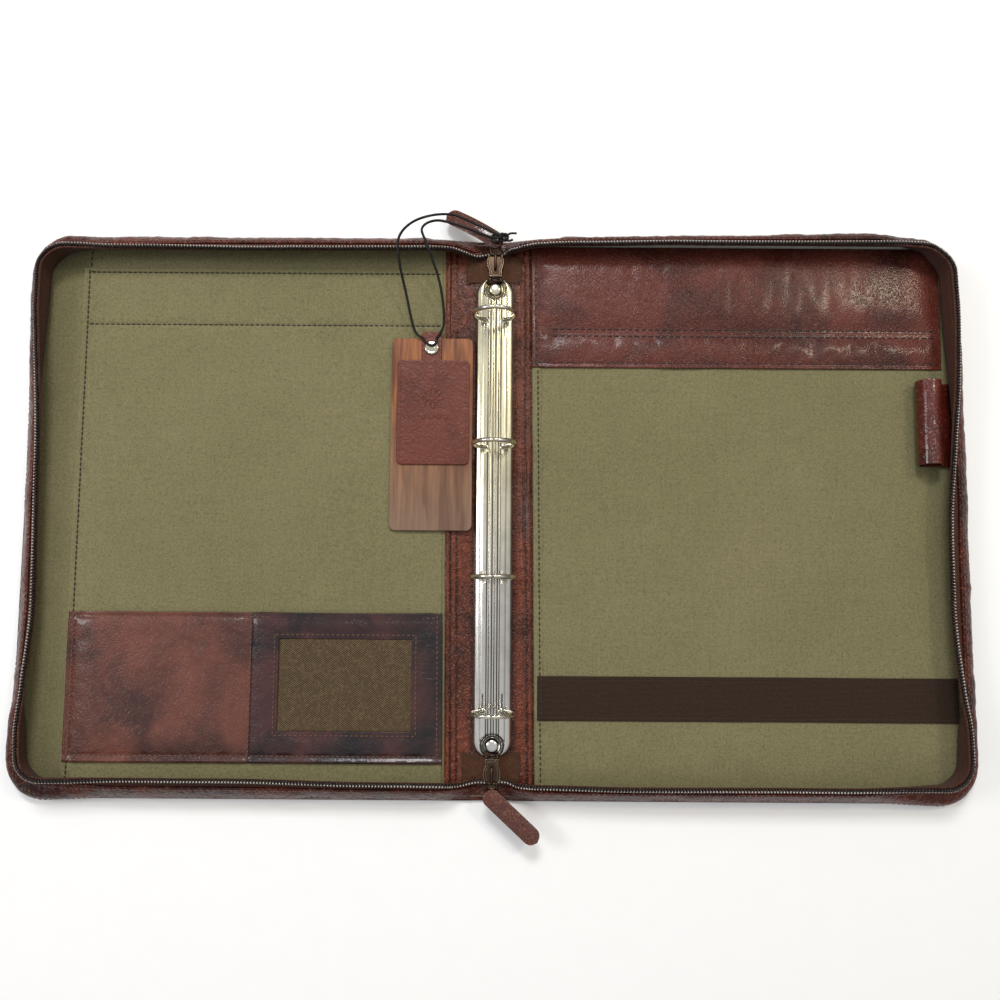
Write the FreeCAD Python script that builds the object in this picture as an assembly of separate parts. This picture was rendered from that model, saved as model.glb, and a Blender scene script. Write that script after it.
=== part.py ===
import FreeCAD, Part

import math
import os

from FreeCAD import Vector

# A zip-around leather portfolio case for A4 sheets, lying open and flat.
# Millimetres. Origin: centre of the spine, on the underside of the outer leather.
# +X towards the right cover, +Y towards the top edge, +Z up.
# Each cover folds up about a hinge line along Y, at x = -HINGE_X or +HINGE_X and z = HINGE_Z.

# ---- driving dimensions -------------------------------------------------------------
HALF_WIDTH = 291.0          # half of the whole case, lying open
HALF_HEIGHT = 174.0         # half of the case's height
CORNER_R = 25.0             # outer corners of the covers
HINGE_X = 25.0              # fold lines on either side of the spine
HINGE_Z = 1.8               # just above the outer leather
FOLD_GAP = 0.1              # free space kept on each side of a fold line

# Layers of the case, from the table upwards
LEATHER_TOP = 1.6
BOARD_TOP = 3.8
PADDING_TOP = 5.3
LINING_TOP = 5.9
POCKET_BACK_TOP = 6.3
POCKET_TOP = 6.9
CARD_POCKET_TOP = 8.4
SPINE_LEATHER_TOP = 5.0

# Where layers of the covers begin, and where those of the spine end
BOARD_START = 28.0
PADDING_START = 28.5
LEFT_LINING_START = 31.0
RIGHT_LINING_START = 27.5
SPINE_BOARD_HALF = 22.0
SPINE_LEATHER_HALF = 19.0
BOARD_INSET = 3.0
LINING_INSET = 2.6

# Standing wall round each cover: leather gusset, lining, zip tape and coil
WALL_START = 26.0
WALL_TOP = HINGE_Z + HINGE_X - FOLD_GAP
COIL_HEIGHT = 1.4
GUSSET_T = 1.4
GUSSET_TOP = 17.5
WALL_LINING_TOP = 16.0
TAPER_RUN = 30.0            # the wall drops towards the spine over this length
TAPER_LOW = 5.0             # height of the wall at the fold line

# Ring mechanism: A4 four-hole pattern, holes 80 mm apart
RING_PITCH = 80.0
RING_Y = [RING_PITCH * (i - 1.5) for i in range(4)]
RING_WIRE_R = 1.4
RING_R = 12.6               # to the wire's centre line
RING_Z = 22.0
RING_FOOT_X = 5.5
HOUSING_HALF_LENGTH = 146.5
HOUSING_HALF_BASE = 12.4
HOUSING_SHOULDER_X = 10.4
HOUSING_SHOULDER_Z = 9.1
HOUSING_TOP = 11.0
SHEET_T = 0.9
SLOT_START_X = 3.6          # slots in the housing, through which the rings swing
SLOT_END_X = 8.7
SLOT_LOW_Z = 8.0
SLOT_CLEAR = 0.15
RIVET_Y = 140.7
CUP_R = 7.5
BLADE_HINGE_X = 9.6
BLADE_HINGE_Z = 7.8
BLADE_T = 1.0
BLADE_DROP = 1.5            # the blades' middle edges lie this much lower than the hinges
BLADE_MIDDLE_GAP = 0.25
BLADE_EDGE_GAP = 0.2        # the blade's outer edge stops this far inside its hinge line
BLADE_HALF_LENGTH = 129.0
RUNNING_GAP = 0.05
RIVET_SHANK_R = 2.0
RIVET_FLANGE_R = 5.8
RIVET_FLANGE_T = 0.6
RIVET_DOME_R = 4.2
RIVET_DOME_H = 2.2
BURR_R = 4.0
BURR_TOP = 2.5

# End of the zip across the spine, described at the top end and mirrored for the bottom end
TAIL_START_Y = 147.0
TAIL_END_Y = 158.5
TAIL_HALF_WIDTH = 16.5
TAIL_FLAT_END_X = 8.5       # the tape lies flat on the leather out to here
TAIL_RAISED_X = 6.0         # and runs raised, inside the slider, within this
TAIL_RAISED_Z = 7.0
TAPE_T = 0.7
COIL_HALF_WIDTH = 2.4
COIL_TOP_Z = 9.1

# Zip sliders and pulls, described at the top end and mirrored for the bottom end
SLIDER_TAIL_Y = 148.0
SLIDER_NECK_LENGTH = 4.5
SLIDER_WIDEST_Y = 157.5
SLIDER_NOSE_Y = 165.5
SLIDER_NOSE_LENGTH = 4.0
SLIDER_HALF_WIDTH = 5.2
SLIDER_SHOULDER_HALF = 4.5
SLIDER_NECK_HALF = 3.9
SLIDER_POST_HALF = 1.5
SLIDER_RAIL_T = 0.8
SLIDER_RAIL_Z = 8.6
PLATE_LOW_Z = 5.3
PLATE_LOW_TOP = 6.5
PLATE_HIGH_Z = 9.3
PLATE_HIGH_TOP = 10.3
BRIDGE_LOW_Z = 12.1
BRIDGE_TOP = 13.1
BRIDGE_HALF_WIDTH = 1.7
BRIDGE_LEG = 1.4
PULL_PIN_Y = 161.9
PULL_PIN_Z = 11.2
PULL_PIN_R = 0.8
LINK_ARM_IN_X = 2.1
LINK_ARM_OUT_X = 3.5
LINK_HALF_T = 0.35
STUD_R = 1.2
STUD_HEAD_R = 2.2
STUD_HEAD_TOP = 14.9
KNOT_R = 2.2
TAB_PIVOT_Y = 170.0
TAB_LENGTH = 42.0
TAB_HALF_WIDTH = 4.4
TAB_LOW_Z = 11.7
TAB_TOP = 14.0
TOP_TAB_ANGLE = 52.0        # from straight out, towards the left cover
BOTTOM_TAB_ANGLE = 47.5     # from straight out, towards the right cover

# Swing tag, lying over the left fold
TAG_RIGHT_X = -13.5
TAG_LEFT_X = -63.7
TAG_LOW_Y = -11.5
TAG_HIGH_Y = 108.5
TAG_LOW_Z = 8.0
TAG_CARD_T = 1.0
TAG_PATCH_TOP = 10.3
TAG_CORNER_R = 3.5
TAG_RIVET_X = -39.1
TAG_RIVET_Y = 102.0
TAG_HEAD_R = 4.3
TAG_SHANK_R = 1.5
TAG_BACK_R = 3.5
TAG_BACK_T = 0.45
PATCH = (-60.0, -15.5, 29.0, 94.5)          # x from, x to, y from, y to
PATCH_CORNER_R = 3.0
PATCH_TAB_HALF = 6.2
PATCH_TAB_TOP = 112.5
CORD_R = 0.65
CORD_HALF_SPREAD = 4.0
CORD_LENGTH = 50.0

# Left cover's pockets
POCKET_LEFT_X = -258.0
POCKET_RIGHT_X = -34.0
POCKET_BACK_INSET = 2.5
POCKET_LOW_Y = -170.0
POCKET_MOUTH_Y = 152.0
CARD_LEFT_X = -257.0
CARD_RIGHT_X = -33.5
CARD_LOW_Y = -151.7
CARD_HIGH_Y = -62.0
CARD_DIVIDER_X = -146.0
CARD_CORNER_R = 1.5
WINDOW = (-129.0, -48.0, -132.8, -77.6)     # x from, x to, y from, y to
SEAM = 4.0                  # width of a sewn edge
POCKET_SPACE = 0.4          # room inside a flat pocket
FABRIC_CLEAR = 0.1

# Right cover's fittings, flat ones as x from, x to, y from, y to
PAD_PANEL = (28.0, 277.5, 91.0, 168.0)
PAD_PANEL_TOP = 7.3
PAD_SLIT = (39.0, 273.0, 112.8, 113.6)
STRAP = (28.0, 279.0, -125.7, -99.0)
STRAP_TOP = 7.0
STRAP_END = 5.0             # length sewn down at each end
STRAP_LIFT = 0.25           # the strap clears the lining by this in between
LOOP_X = 266.0
LOOP_Z = 13.5
LOOP_Y0 = 30.0
LOOP_Y1 = 82.0
LOOP_R = 7.5
LOOP_BORE_R = 6.2
LOOP_FLANGE_X = 286.0
LOOP_FLANGE_Z = 6.0
LOOP_FLANGE_TOP = 7.0


# ---- helpers ------------------------------------------------------------------------
def box(x0, x1, y0, y1, z0, z1):
    return Part.makeBox(x1 - x0, y1 - y0, z1 - z0, Vector(x0, y0, z0))


def upright(x, y, z0, z1, radius):
    """A round bar standing on z0."""
    return Part.makeCylinder(radius, z1 - z0, Vector(x, y, z0))


def face_of(edges):
    return Part.Face(Part.Wire(Part.__sortEdges__(edges)))


def polygon_face(points):
    return Part.Face(Part.makePolygon(points + points[:1]))


def stands_upright(edge):
    first, last = edge.Vertexes
    return first.X == last.X and first.Y == last.Y


def rounded_plate(x0, x1, y0, y1, z0, z1, radius):
    """A plate with its four upright corners rounded."""
    plate = box(x0, x1, y0, y1, z0, z1)
    corners = [edge for edge in plate.Edges if stands_upright(edge)]
    return plate.makeFillet(radius, corners)


def mirror_left(shape):
    return shape.mirror(Vector(0, 0, 0), Vector(1, 0, 0))


def mirror_bottom(shape):
    return shape.mirror(Vector(0, 0, 0), Vector(0, 1, 0))


def both_ends(shape):
    """The same piece at the top and at the bottom end, as two separate solids."""
    return Part.makeCompound([shape, mirror_bottom(shape)])


def cover_face(inset, x_start):
    """Outline of the right cover, drawn in by inset: square at the spine, round outside."""
    x_end = HALF_WIDTH - inset
    y_end = HALF_HEIGHT - inset
    r = CORNER_R - inset
    bulge = r * (1 - math.sqrt(0.5))
    edges = []
    for side in (-1, 1):
        edges.append(Part.makeLine(Vector(x_start, side * y_end, 0), Vector(x_end - r, side * y_end, 0)))
        arc = Part.Arc(Vector(x_end - r, side * y_end, 0),
                       Vector(x_end - bulge, side * (y_end - bulge), 0),
                       Vector(x_end, side * (y_end - r), 0))
        edges.append(arc.toShape())
    edges.append(Part.makeLine(Vector(x_end, r - y_end, 0), Vector(x_end, y_end - r, 0)))
    edges.append(Part.makeLine(Vector(x_start, -y_end, 0), Vector(x_start, y_end, 0)))
    return face_of(edges)


def cover_plate(inset, x_start, z0, z1):
    """One flat layer of the right cover."""
    plate = cover_face(inset, x_start).extrude(Vector(0, 0, z1 - z0))
    plate.translate(Vector(0, 0, z0))
    return plate


def wall_taper():
    """The space above the wall's slope, from the fold line to where full height begins."""
    low = HINGE_X - 2.0
    above = WALL_TOP + 5.0
    reach = HALF_HEIGHT + 5.0
    points = [Vector(low, -reach, TAPER_LOW),
              Vector(HINGE_X, -reach, TAPER_LOW),
              Vector(HINGE_X + TAPER_RUN, -reach, WALL_TOP),
              Vector(HINGE_X + TAPER_RUN, -reach, above),
              Vector(low, -reach, above)]
    return polygon_face(points).extrude(Vector(0, 2 * reach, 0))


def cover_wall(outer, inner, x_start, z0, z1):
    """A band of the standing wall, between two insets, open towards the spine."""
    band = cover_plate(outer, x_start, z0, z1).cut(cover_plate(inner, x_start, z0, z1))
    return band.cut(wall_taper())


# ---- spine --------------------------------------------------------------------------
def spine_outer_leather():
    half = HINGE_X - FOLD_GAP
    return box(-half, half, -HALF_HEIGHT, HALF_HEIGHT, 0, LEATHER_TOP)


def spine_board():
    """Stiffener, with a hole for each rivet and a pocket below for its burr."""
    end = HALF_HEIGHT - BOARD_INSET
    board = box(-SPINE_BOARD_HALF, SPINE_BOARD_HALF, -end, end, LEATHER_TOP, BOARD_TOP)
    for side in (-1, 1):
        y = side * RIVET_Y
        board = board.cut(upright(0, y, LEATHER_TOP, BOARD_TOP, RIVET_SHANK_R + RUNNING_GAP))
        board = board.cut(upright(0, y, LEATHER_TOP, BURR_TOP + FOLD_GAP, BURR_R + 0.2))
    return board


def spine_inner_leather():
    end = HALF_HEIGHT - BOARD_INSET
    sheet = box(-SPINE_LEATHER_HALF, SPINE_LEATHER_HALF, -end, end, BOARD_TOP, SPINE_LEATHER_TOP)
    for side in (-1, 1):
        hole = upright(0, side * RIVET_Y, BOARD_TOP, SPINE_LEATHER_TOP, RIVET_SHANK_R + RUNNING_GAP)
        sheet = sheet.cut(hole)
    return sheet


def spine_end_gussets():
    """The low leather lips that join the covers' walls across each end of the spine."""
    inner = HALF_HEIGHT - 2.0
    outer = HALF_HEIGHT - 0.6
    return both_ends(box(-16.0, 16.0, inner, outer, LEATHER_TOP, 8.0))


# ---- ring mechanism -----------------------------------------------------------------
def housing_profile(shrink):
    """Half-round spring cover in cross-section, drawn in by shrink, standing on the leather."""
    base = HOUSING_HALF_BASE - shrink
    shoulder_x = HOUSING_SHOULDER_X - shrink
    shoulder_z = HOUSING_SHOULDER_Z - shrink * 0.6
    top = HOUSING_TOP - shrink
    foot = SPINE_LEATHER_TOP
    y = -HOUSING_HALF_LENGTH
    arc = Part.Arc(Vector(-shoulder_x, y, shoulder_z), Vector(0, y, top), Vector(shoulder_x, y, shoulder_z))
    edges = [Part.makeLine(Vector(-base, y, foot), Vector(-shoulder_x, y, shoulder_z)),
             arc.toShape(),
             Part.makeLine(Vector(shoulder_x, y, shoulder_z), Vector(base, y, foot)),
             Part.makeLine(Vector(base, y, foot), Vector(-base, y, foot))]
    return face_of(edges)


def housing_block(shrink):
    return housing_profile(shrink).extrude(Vector(0, 2 * HOUSING_HALF_LENGTH, 0))


def ring_housing():
    """Arched sheet-steel cover with a dished seat for each rivet and slots for the ring feet."""
    filled = housing_block(0)
    shell = filled.cut(housing_block(SHEET_T))
    for side in (-1, 1):
        y = side * RIVET_Y
        cup = upright(0, y, SPINE_LEATHER_TOP, HOUSING_TOP, CUP_R + SHEET_T).common(filled)
        shell = shell.fuse(cup)
        shell = shell.cut(upright(0, y, SPINE_LEATHER_TOP + SHEET_T, HOUSING_TOP + 1, CUP_R))
        past_end = side * (HOUSING_HALF_LENGTH + 1)
        end_cut = box(-CUP_R, CUP_R, min(y, past_end), max(y, past_end),
                      SPINE_LEATHER_TOP + SHEET_T, HOUSING_TOP + 1)
        shell = shell.cut(end_cut)
        shell = shell.cut(upright(0, y, SPINE_LEATHER_TOP, HOUSING_TOP, RIVET_SHANK_R + RUNNING_GAP))
    slot_half = RING_WIRE_R + SLOT_CLEAR
    for y in RING_Y:
        for x0, x1 in ((-SLOT_END_X, -SLOT_START_X), (SLOT_START_X, SLOT_END_X)):
            slot = box(x0, x1, y - slot_half, y + slot_half, SLOT_LOW_Z, HOUSING_TOP + 1)
            shell = shell.cut(slot)
    return shell


def housing_rivets():
    """Dome-headed rivets that hold the housing down through leather and board."""
    y = RIVET_Y
    flange_z = SPINE_LEATHER_TOP + SHEET_T
    head_z = flange_z + RIVET_FLANGE_T
    ball_r = (RIVET_DOME_R ** 2 + RIVET_DOME_H ** 2) / (2 * RIVET_DOME_H)
    ball = Part.makeSphere(ball_r, Vector(0, y, head_z + RIVET_DOME_H - ball_r))
    dome = ball.common(upright(0, y, head_z, head_z + RIVET_DOME_H + 1, RIVET_DOME_R + 1))
    flange = upright(0, y, flange_z, head_z, RIVET_FLANGE_R)
    shank = upright(0, y, LEATHER_TOP + 0.1, flange_z, RIVET_SHANK_R)
    return both_ends(dome.fuse(flange).fuse(shank))


def rivet_burrs():
    """Washers under the board, over which the rivet shanks are set."""
    burr = upright(0, RIVET_Y, LEATHER_TOP + 0.1, BURR_TOP, BURR_R)
    return both_ends(burr.cut(upright(0, RIVET_Y, LEATHER_TOP, BURR_TOP, RIVET_SHANK_R + RUNNING_GAP)))


def blade_height(x):
    """Height of the blade's mid-plane at distance x from the middle."""
    return BLADE_HINGE_Z - BLADE_DROP * (BLADE_HINGE_X - x) / BLADE_HINGE_X


def right_blade():
    """Carrier strip hinged in the housing's lip, lying lower at the middle."""
    half_t = BLADE_T / 2
    y = -BLADE_HALF_LENGTH
    x_in = BLADE_MIDDLE_GAP
    x_out = BLADE_HINGE_X - BLADE_EDGE_GAP
    points = [Vector(x_in, y, blade_height(x_in) - half_t),
              Vector(x_out, y, blade_height(x_out) - half_t),
              Vector(x_out, y, blade_height(x_out) + half_t),
              Vector(x_in, y, blade_height(x_in) + half_t)]
    blade = polygon_face(points).extrude(Vector(0, 2 * BLADE_HALF_LENGTH, 0))
    for ring_y in RING_Y:
        blade = blade.cut(upright(RING_FOOT_X, ring_y, SPINE_LEATHER_TOP, HOUSING_TOP, RING_WIRE_R + 0.01))
    return blade


def right_half_ring(y):
    """Half of one ring: round wire from the top joint, down the side and into the blade."""
    lean = math.asin(RING_FOOT_X / RING_R)
    start = math.asin(0.05 / RING_R)
    top = Vector(RING_R * math.sin(start), y, RING_Z + RING_R * math.cos(start))
    side = Vector(RING_R, y, RING_Z)
    foot = Vector(RING_R * math.sin(lean), y, RING_Z - RING_R * math.cos(lean))
    arc = Part.Arc(top, side, foot).toShape()
    section = Part.Wire(Part.makeCircle(RING_WIRE_R, top, Vector(1, 0, 0)))
    bow = Part.Wire(arc).makePipeShell([section], True, True)
    stem_foot = blade_height(RING_FOOT_X) - BLADE_T / 2
    stem = upright(RING_FOOT_X, y, stem_foot, foot.z, RING_WIRE_R)
    knee = Part.makeSphere(RING_WIRE_R, foot)
    half = bow.fuse(stem).fuse(knee)
    return half.common(box(0.05, 30, y - 5, y + 5, 0, 60)).Solids[0]


def right_half_rings():
    return Part.makeCompound([right_half_ring(y) for y in RING_Y])


# ---- zip at the spine's ends, top end -----------------------------------------------
def top_tail_tape():
    """The zip's end tape: sewn flat at its sides, raised where it runs through the slider."""
    flat = SPINE_LEATHER_TOP
    half = [(TAIL_HALF_WIDTH, flat), (TAIL_FLAT_END_X, flat), (TAIL_RAISED_X, TAIL_RAISED_Z)]
    under = [Vector(x, TAIL_START_Y, z) for x, z in half]
    under += [Vector(-x, TAIL_START_Y, z) for x, z in half[::-1]]
    over = [Vector(p.x, p.y, p.z + TAPE_T) for p in under[::-1]]
    return polygon_face(under + over).extrude(Vector(0, TAIL_END_Y - TAIL_START_Y, 0))


def top_tail_coil():
    """The last, closed stretch of the zip's coil."""
    low = TAIL_RAISED_Z + TAPE_T + RUNNING_GAP
    return box(-COIL_HALF_WIDTH, COIL_HALF_WIDTH, TAIL_START_Y + 1.0, TAIL_END_Y, low, COIL_TOP_Z)


def slider_outline(z):
    """Shield shape: a narrow neck towards the rings and a pointed nose outwards."""
    right = [Vector(SLIDER_NECK_HALF, SLIDER_TAIL_Y, z),
             Vector(SLIDER_NECK_HALF, SLIDER_TAIL_Y + SLIDER_NECK_LENGTH, z),
             Vector(SLIDER_HALF_WIDTH, SLIDER_WIDEST_Y, z),
             Vector(SLIDER_SHOULDER_HALF, SLIDER_NOSE_Y - SLIDER_NOSE_LENGTH, z)]
    nose = Vector(0, SLIDER_NOSE_Y, z)
    left = [Vector(-p.x, p.y, p.z) for p in right[::-1]]
    return polygon_face(right + [nose] + left)


def top_slider():
    """Slider body: two plates joined by the dividing post, with a bridge for the pull."""
    low = slider_outline(PLATE_LOW_Z).extrude(Vector(0, 0, PLATE_LOW_TOP - PLATE_LOW_Z))
    high = slider_outline(PLATE_HIGH_Z).extrude(Vector(0, 0, PLATE_HIGH_TOP - PLATE_HIGH_Z))
    post = box(-SLIDER_POST_HALF, SLIDER_POST_HALF, TAIL_END_Y + 0.7, SLIDER_NOSE_Y - 1.2,
               PLATE_LOW_TOP, PLATE_HIGH_Z)
    body = low.fuse(high).fuse(post)
    rail_y0 = SLIDER_TAIL_Y + 0.5
    rail_y1 = SLIDER_TAIL_Y + SLIDER_NECK_LENGTH
    rail_in = SLIDER_NECK_HALF - SLIDER_RAIL_T
    for x0, x1 in ((-SLIDER_NECK_HALF, -rail_in), (rail_in, SLIDER_NECK_HALF)):
        body = body.fuse(box(x0, x1, rail_y0, rail_y1, SLIDER_RAIL_Z, PLATE_HIGH_Z))
    bridge_y0 = SLIDER_TAIL_Y + 3.0
    bridge_y1 = PULL_PIN_Y + 2.6
    half = BRIDGE_HALF_WIDTH
    bridge = box(-half, half, bridge_y0, bridge_y1, PLATE_HIGH_TOP, BRIDGE_TOP)
    opening = box(-half, half, bridge_y0 + BRIDGE_LEG, bridge_y1 - BRIDGE_LEG, PLATE_HIGH_TOP, BRIDGE_LOW_Z)
    return body.fuse(bridge.cut(opening))


def top_pull_link():
    """Metal link: a pin under the bridge, two arms, and an end plate with the tab's stud."""
    z = PULL_PIN_Z
    low = z - LINK_HALF_T
    high = z + LINK_HALF_T
    pin_start = Vector(-LINK_ARM_OUT_X, PULL_PIN_Y, z)
    link = Part.makeCylinder(PULL_PIN_R, 2 * LINK_ARM_OUT_X, pin_start, Vector(1, 0, 0))
    for x0, x1 in ((-LINK_ARM_OUT_X, -LINK_ARM_IN_X), (LINK_ARM_IN_X, LINK_ARM_OUT_X)):
        link = link.fuse(box(x0, x1, PULL_PIN_Y, TAB_PIVOT_Y, low, high))
    link = link.fuse(upright(0, TAB_PIVOT_Y, low, high, TAB_HALF_WIDTH - 0.5))
    stud = upright(0, TAB_PIVOT_Y, z, STUD_HEAD_TOP - 0.4, STUD_R)
    head = upright(0, TAB_PIVOT_Y, TAB_TOP + 0.1, STUD_HEAD_TOP, STUD_HEAD_R)
    return link.fuse(stud).fuse(head)


def tab_strap(angle):
    """Leather tab with round ends, turned by angle from straight out."""
    length = TAB_LENGTH - 2 * TAB_HALF_WIDTH
    y0 = TAB_PIVOT_Y
    y1 = TAB_PIVOT_Y + length
    strap = box(-TAB_HALF_WIDTH, TAB_HALF_WIDTH, y0, y1, TAB_LOW_Z, TAB_TOP)
    for y in (y0, y1):
        strap = strap.fuse(upright(0, y, TAB_LOW_Z, TAB_TOP, TAB_HALF_WIDTH))
    strap = strap.cut(upright(0, y0, TAB_LOW_Z, TAB_TOP, STUD_R + RUNNING_GAP))
    strap.rotate(Vector(0, TAB_PIVOT_Y, 0), Vector(0, 0, 1), angle)
    return strap


def cord_knot():
    """The knot of the tag's cord, on the top pull."""
    return Part.makeSphere(KNOT_R, Vector(4.5, TAB_PIVOT_Y + 1.0, STUD_HEAD_TOP + KNOT_R + 0.2))


# ---- covers -------------------------------------------------------------------------
def outer_leather():
    return cover_plate(0, HINGE_X + FOLD_GAP, 0, LEATHER_TOP)


def board():
    return cover_plate(BOARD_INSET, BOARD_START, LEATHER_TOP, BOARD_TOP)


def padding():
    return cover_plate(BOARD_INSET, PADDING_START, BOARD_TOP, PADDING_TOP)


def lining(x_start):
    return cover_plate(LINING_INSET, x_start, PADDING_TOP, LINING_TOP)


def gusset():
    return cover_wall(0, GUSSET_T, WALL_START, LEATHER_TOP, GUSSET_TOP)


def wall_lining():
    return cover_wall(GUSSET_T + 0.1, GUSSET_T + 0.8, WALL_START + 5.0, LINING_TOP, WALL_LINING_TOP)


def zip_tape():
    return cover_wall(GUSSET_T + 0.1, GUSSET_T + 1.0, WALL_START, WALL_LINING_TOP + 0.1,
                      WALL_TOP - COIL_HEIGHT - 0.1)


def zip_coil():
    return cover_wall(0.9, 3.1, WALL_START, WALL_TOP - COIL_HEIGHT, WALL_TOP)


# ---- left cover's pockets -----------------------------------------------------------
def page_pocket_back():
    return box(POCKET_LEFT_X + POCKET_BACK_INSET, POCKET_RIGHT_X, POCKET_LOW_Y, -POCKET_LOW_Y,
               LINING_TOP, POCKET_BACK_TOP)


def page_pocket_front():
    return box(POCKET_LEFT_X, POCKET_RIGHT_X, POCKET_LOW_Y, POCKET_MOUTH_Y, POCKET_BACK_TOP, POCKET_TOP)


def card_pocket():
    """Leather pocket, open along its top edge, sewn at a divider, with a window cut in it."""
    pocket = rounded_plate(CARD_LEFT_X, CARD_RIGHT_X, CARD_LOW_Y, CARD_HIGH_Y,
                           POCKET_TOP, CARD_POCKET_TOP, CARD_CORNER_R)
    hollow_top = POCKET_TOP + POCKET_SPACE
    for x0, x1 in ((CARD_LEFT_X, CARD_DIVIDER_X), (CARD_DIVIDER_X, CARD_RIGHT_X)):
        pocket = pocket.cut(box(x0 + SEAM, x1 - SEAM, CARD_LOW_Y + SEAM, CARD_HIGH_Y + 1,
                                POCKET_TOP, hollow_top))
    x0, x1, y0, y1 = WINDOW
    return pocket.cut(box(x0, x1, y0, y1, POCKET_TOP, CARD_POCKET_TOP))


def window_fabric():
    """Fabric panel filling the card pocket's window."""
    x0, x1, y0, y1 = WINDOW
    gap = FABRIC_CLEAR
    low = POCKET_TOP + POCKET_SPACE
    return box(x0 + gap, x1 - gap, y0 + gap, y1 - gap, low, CARD_POCKET_TOP - POCKET_SPACE)


# ---- right cover's fittings ---------------------------------------------------------
def pad_panel():
    """Leather panel with a slit that takes the back of a writing pad."""
    x0, x1, y0, y1 = PAD_PANEL
    slit_x0, slit_x1, slit_y0, slit_y1 = PAD_SLIT
    panel = box(x0, x1, y0, y1, LINING_TOP, PAD_PANEL_TOP)
    panel = panel.cut(box(slit_x0, slit_x1, slit_y0, y1 - SEAM, LINING_TOP, LINING_TOP + POCKET_SPACE))
    return panel.cut(box(slit_x0, slit_x1, slit_y0, slit_y1, LINING_TOP, PAD_PANEL_TOP))


def elastic_strap():
    """Flat elastic across the cover, sewn down at both ends."""
    x0, x1, y0, y1 = STRAP
    strap = box(x0, x1, y0, y1, LINING_TOP, STRAP_TOP)
    return strap.cut(box(x0 + STRAP_END, x1 - STRAP_END, y0, y1, LINING_TOP, LINING_TOP + STRAP_LIFT))


def pen_loop():
    """Leather tube for a pen, on a flange sewn down beside the wall."""
    length = LOOP_Y1 - LOOP_Y0
    tube = Part.makeCylinder(LOOP_R, length, Vector(LOOP_X, LOOP_Y0, LOOP_Z), Vector(0, 1, 0))
    flange = box(LOOP_X, LOOP_FLANGE_X, LOOP_Y0, LOOP_Y1, LOOP_FLANGE_Z, LOOP_FLANGE_TOP)
    bore = Part.makeCylinder(LOOP_BORE_R, length, Vector(LOOP_X, LOOP_Y0, LOOP_Z), Vector(0, 1, 0))
    return tube.fuse(flange).cut(bore)


# ---- swing tag ----------------------------------------------------------------------
def tag_card():
    """Stiff card with a rivet hole and a shallow seat for the rivet's back."""
    top = TAG_LOW_Z + TAG_CARD_T
    card = rounded_plate(TAG_LEFT_X, TAG_RIGHT_X, TAG_LOW_Y, TAG_HIGH_Y, TAG_LOW_Z, top, TAG_CORNER_R)
    card = card.cut(upright(TAG_RIVET_X, TAG_RIVET_Y, TAG_LOW_Z, top, TAG_SHANK_R + RUNNING_GAP))
    seat_top = TAG_LOW_Z + TAG_BACK_T + RUNNING_GAP
    return card.cut(upright(TAG_RIVET_X, TAG_RIVET_Y, TAG_LOW_Z, seat_top, TAG_BACK_R + FABRIC_CLEAR))


def tag_patch():
    """Leather patch with a tab that takes the rivet and stands above the card."""
    x0, x1, y0, y1 = PATCH
    low = TAG_LOW_Z + TAG_CARD_T
    patch = rounded_plate(x0, x1, y0, y1, low, TAG_PATCH_TOP, PATCH_CORNER_R)
    tab = box(TAG_RIVET_X - PATCH_TAB_HALF, TAG_RIVET_X + PATCH_TAB_HALF, y1 - 1.0, PATCH_TAB_TOP,
              low, TAG_PATCH_TOP)
    hole = upright(TAG_RIVET_X, TAG_RIVET_Y, low, TAG_PATCH_TOP, TAG_SHANK_R + RUNNING_GAP)
    return patch.fuse(tab).cut(hole)


def tag_rivet():
    x = TAG_RIVET_X
    y = TAG_RIVET_Y
    back = upright(x, y, TAG_LOW_Z, TAG_LOW_Z + TAG_BACK_T, TAG_BACK_R)
    shank = upright(x, y, TAG_LOW_Z, TAG_PATCH_TOP + 0.1, TAG_SHANK_R)
    head = upright(x, y, TAG_PATCH_TOP + 0.05, TAG_PATCH_TOP + 1.2, TAG_HEAD_R)
    head = head.makeFillet(0.9, [head.Edges[0]])
    return back.fuse(shank).fuse(head)


def tag_cord():
    """Two strands of round elastic leading from the tag's tab to the top edge."""
    z = TAG_LOW_Z + 0.8
    strands = []
    for dx in (-CORD_HALF_SPREAD, CORD_HALF_SPREAD):
        start = Vector(TAG_RIVET_X + dx, PATCH_TAB_TOP + 0.3, z)
        strands.append(Part.makeCylinder(CORD_R, CORD_LENGTH, start, Vector(0, 1, 0)))
    return Part.makeCompound(strands)


# ---- all pieces ---------------------------------------------------------------------
def top_tab():
    return tab_strap(TOP_TAB_ANGLE)


def bottom_tab():
    return mirror_bottom(tab_strap(-BOTTOM_TAB_ANGLE))


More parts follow.
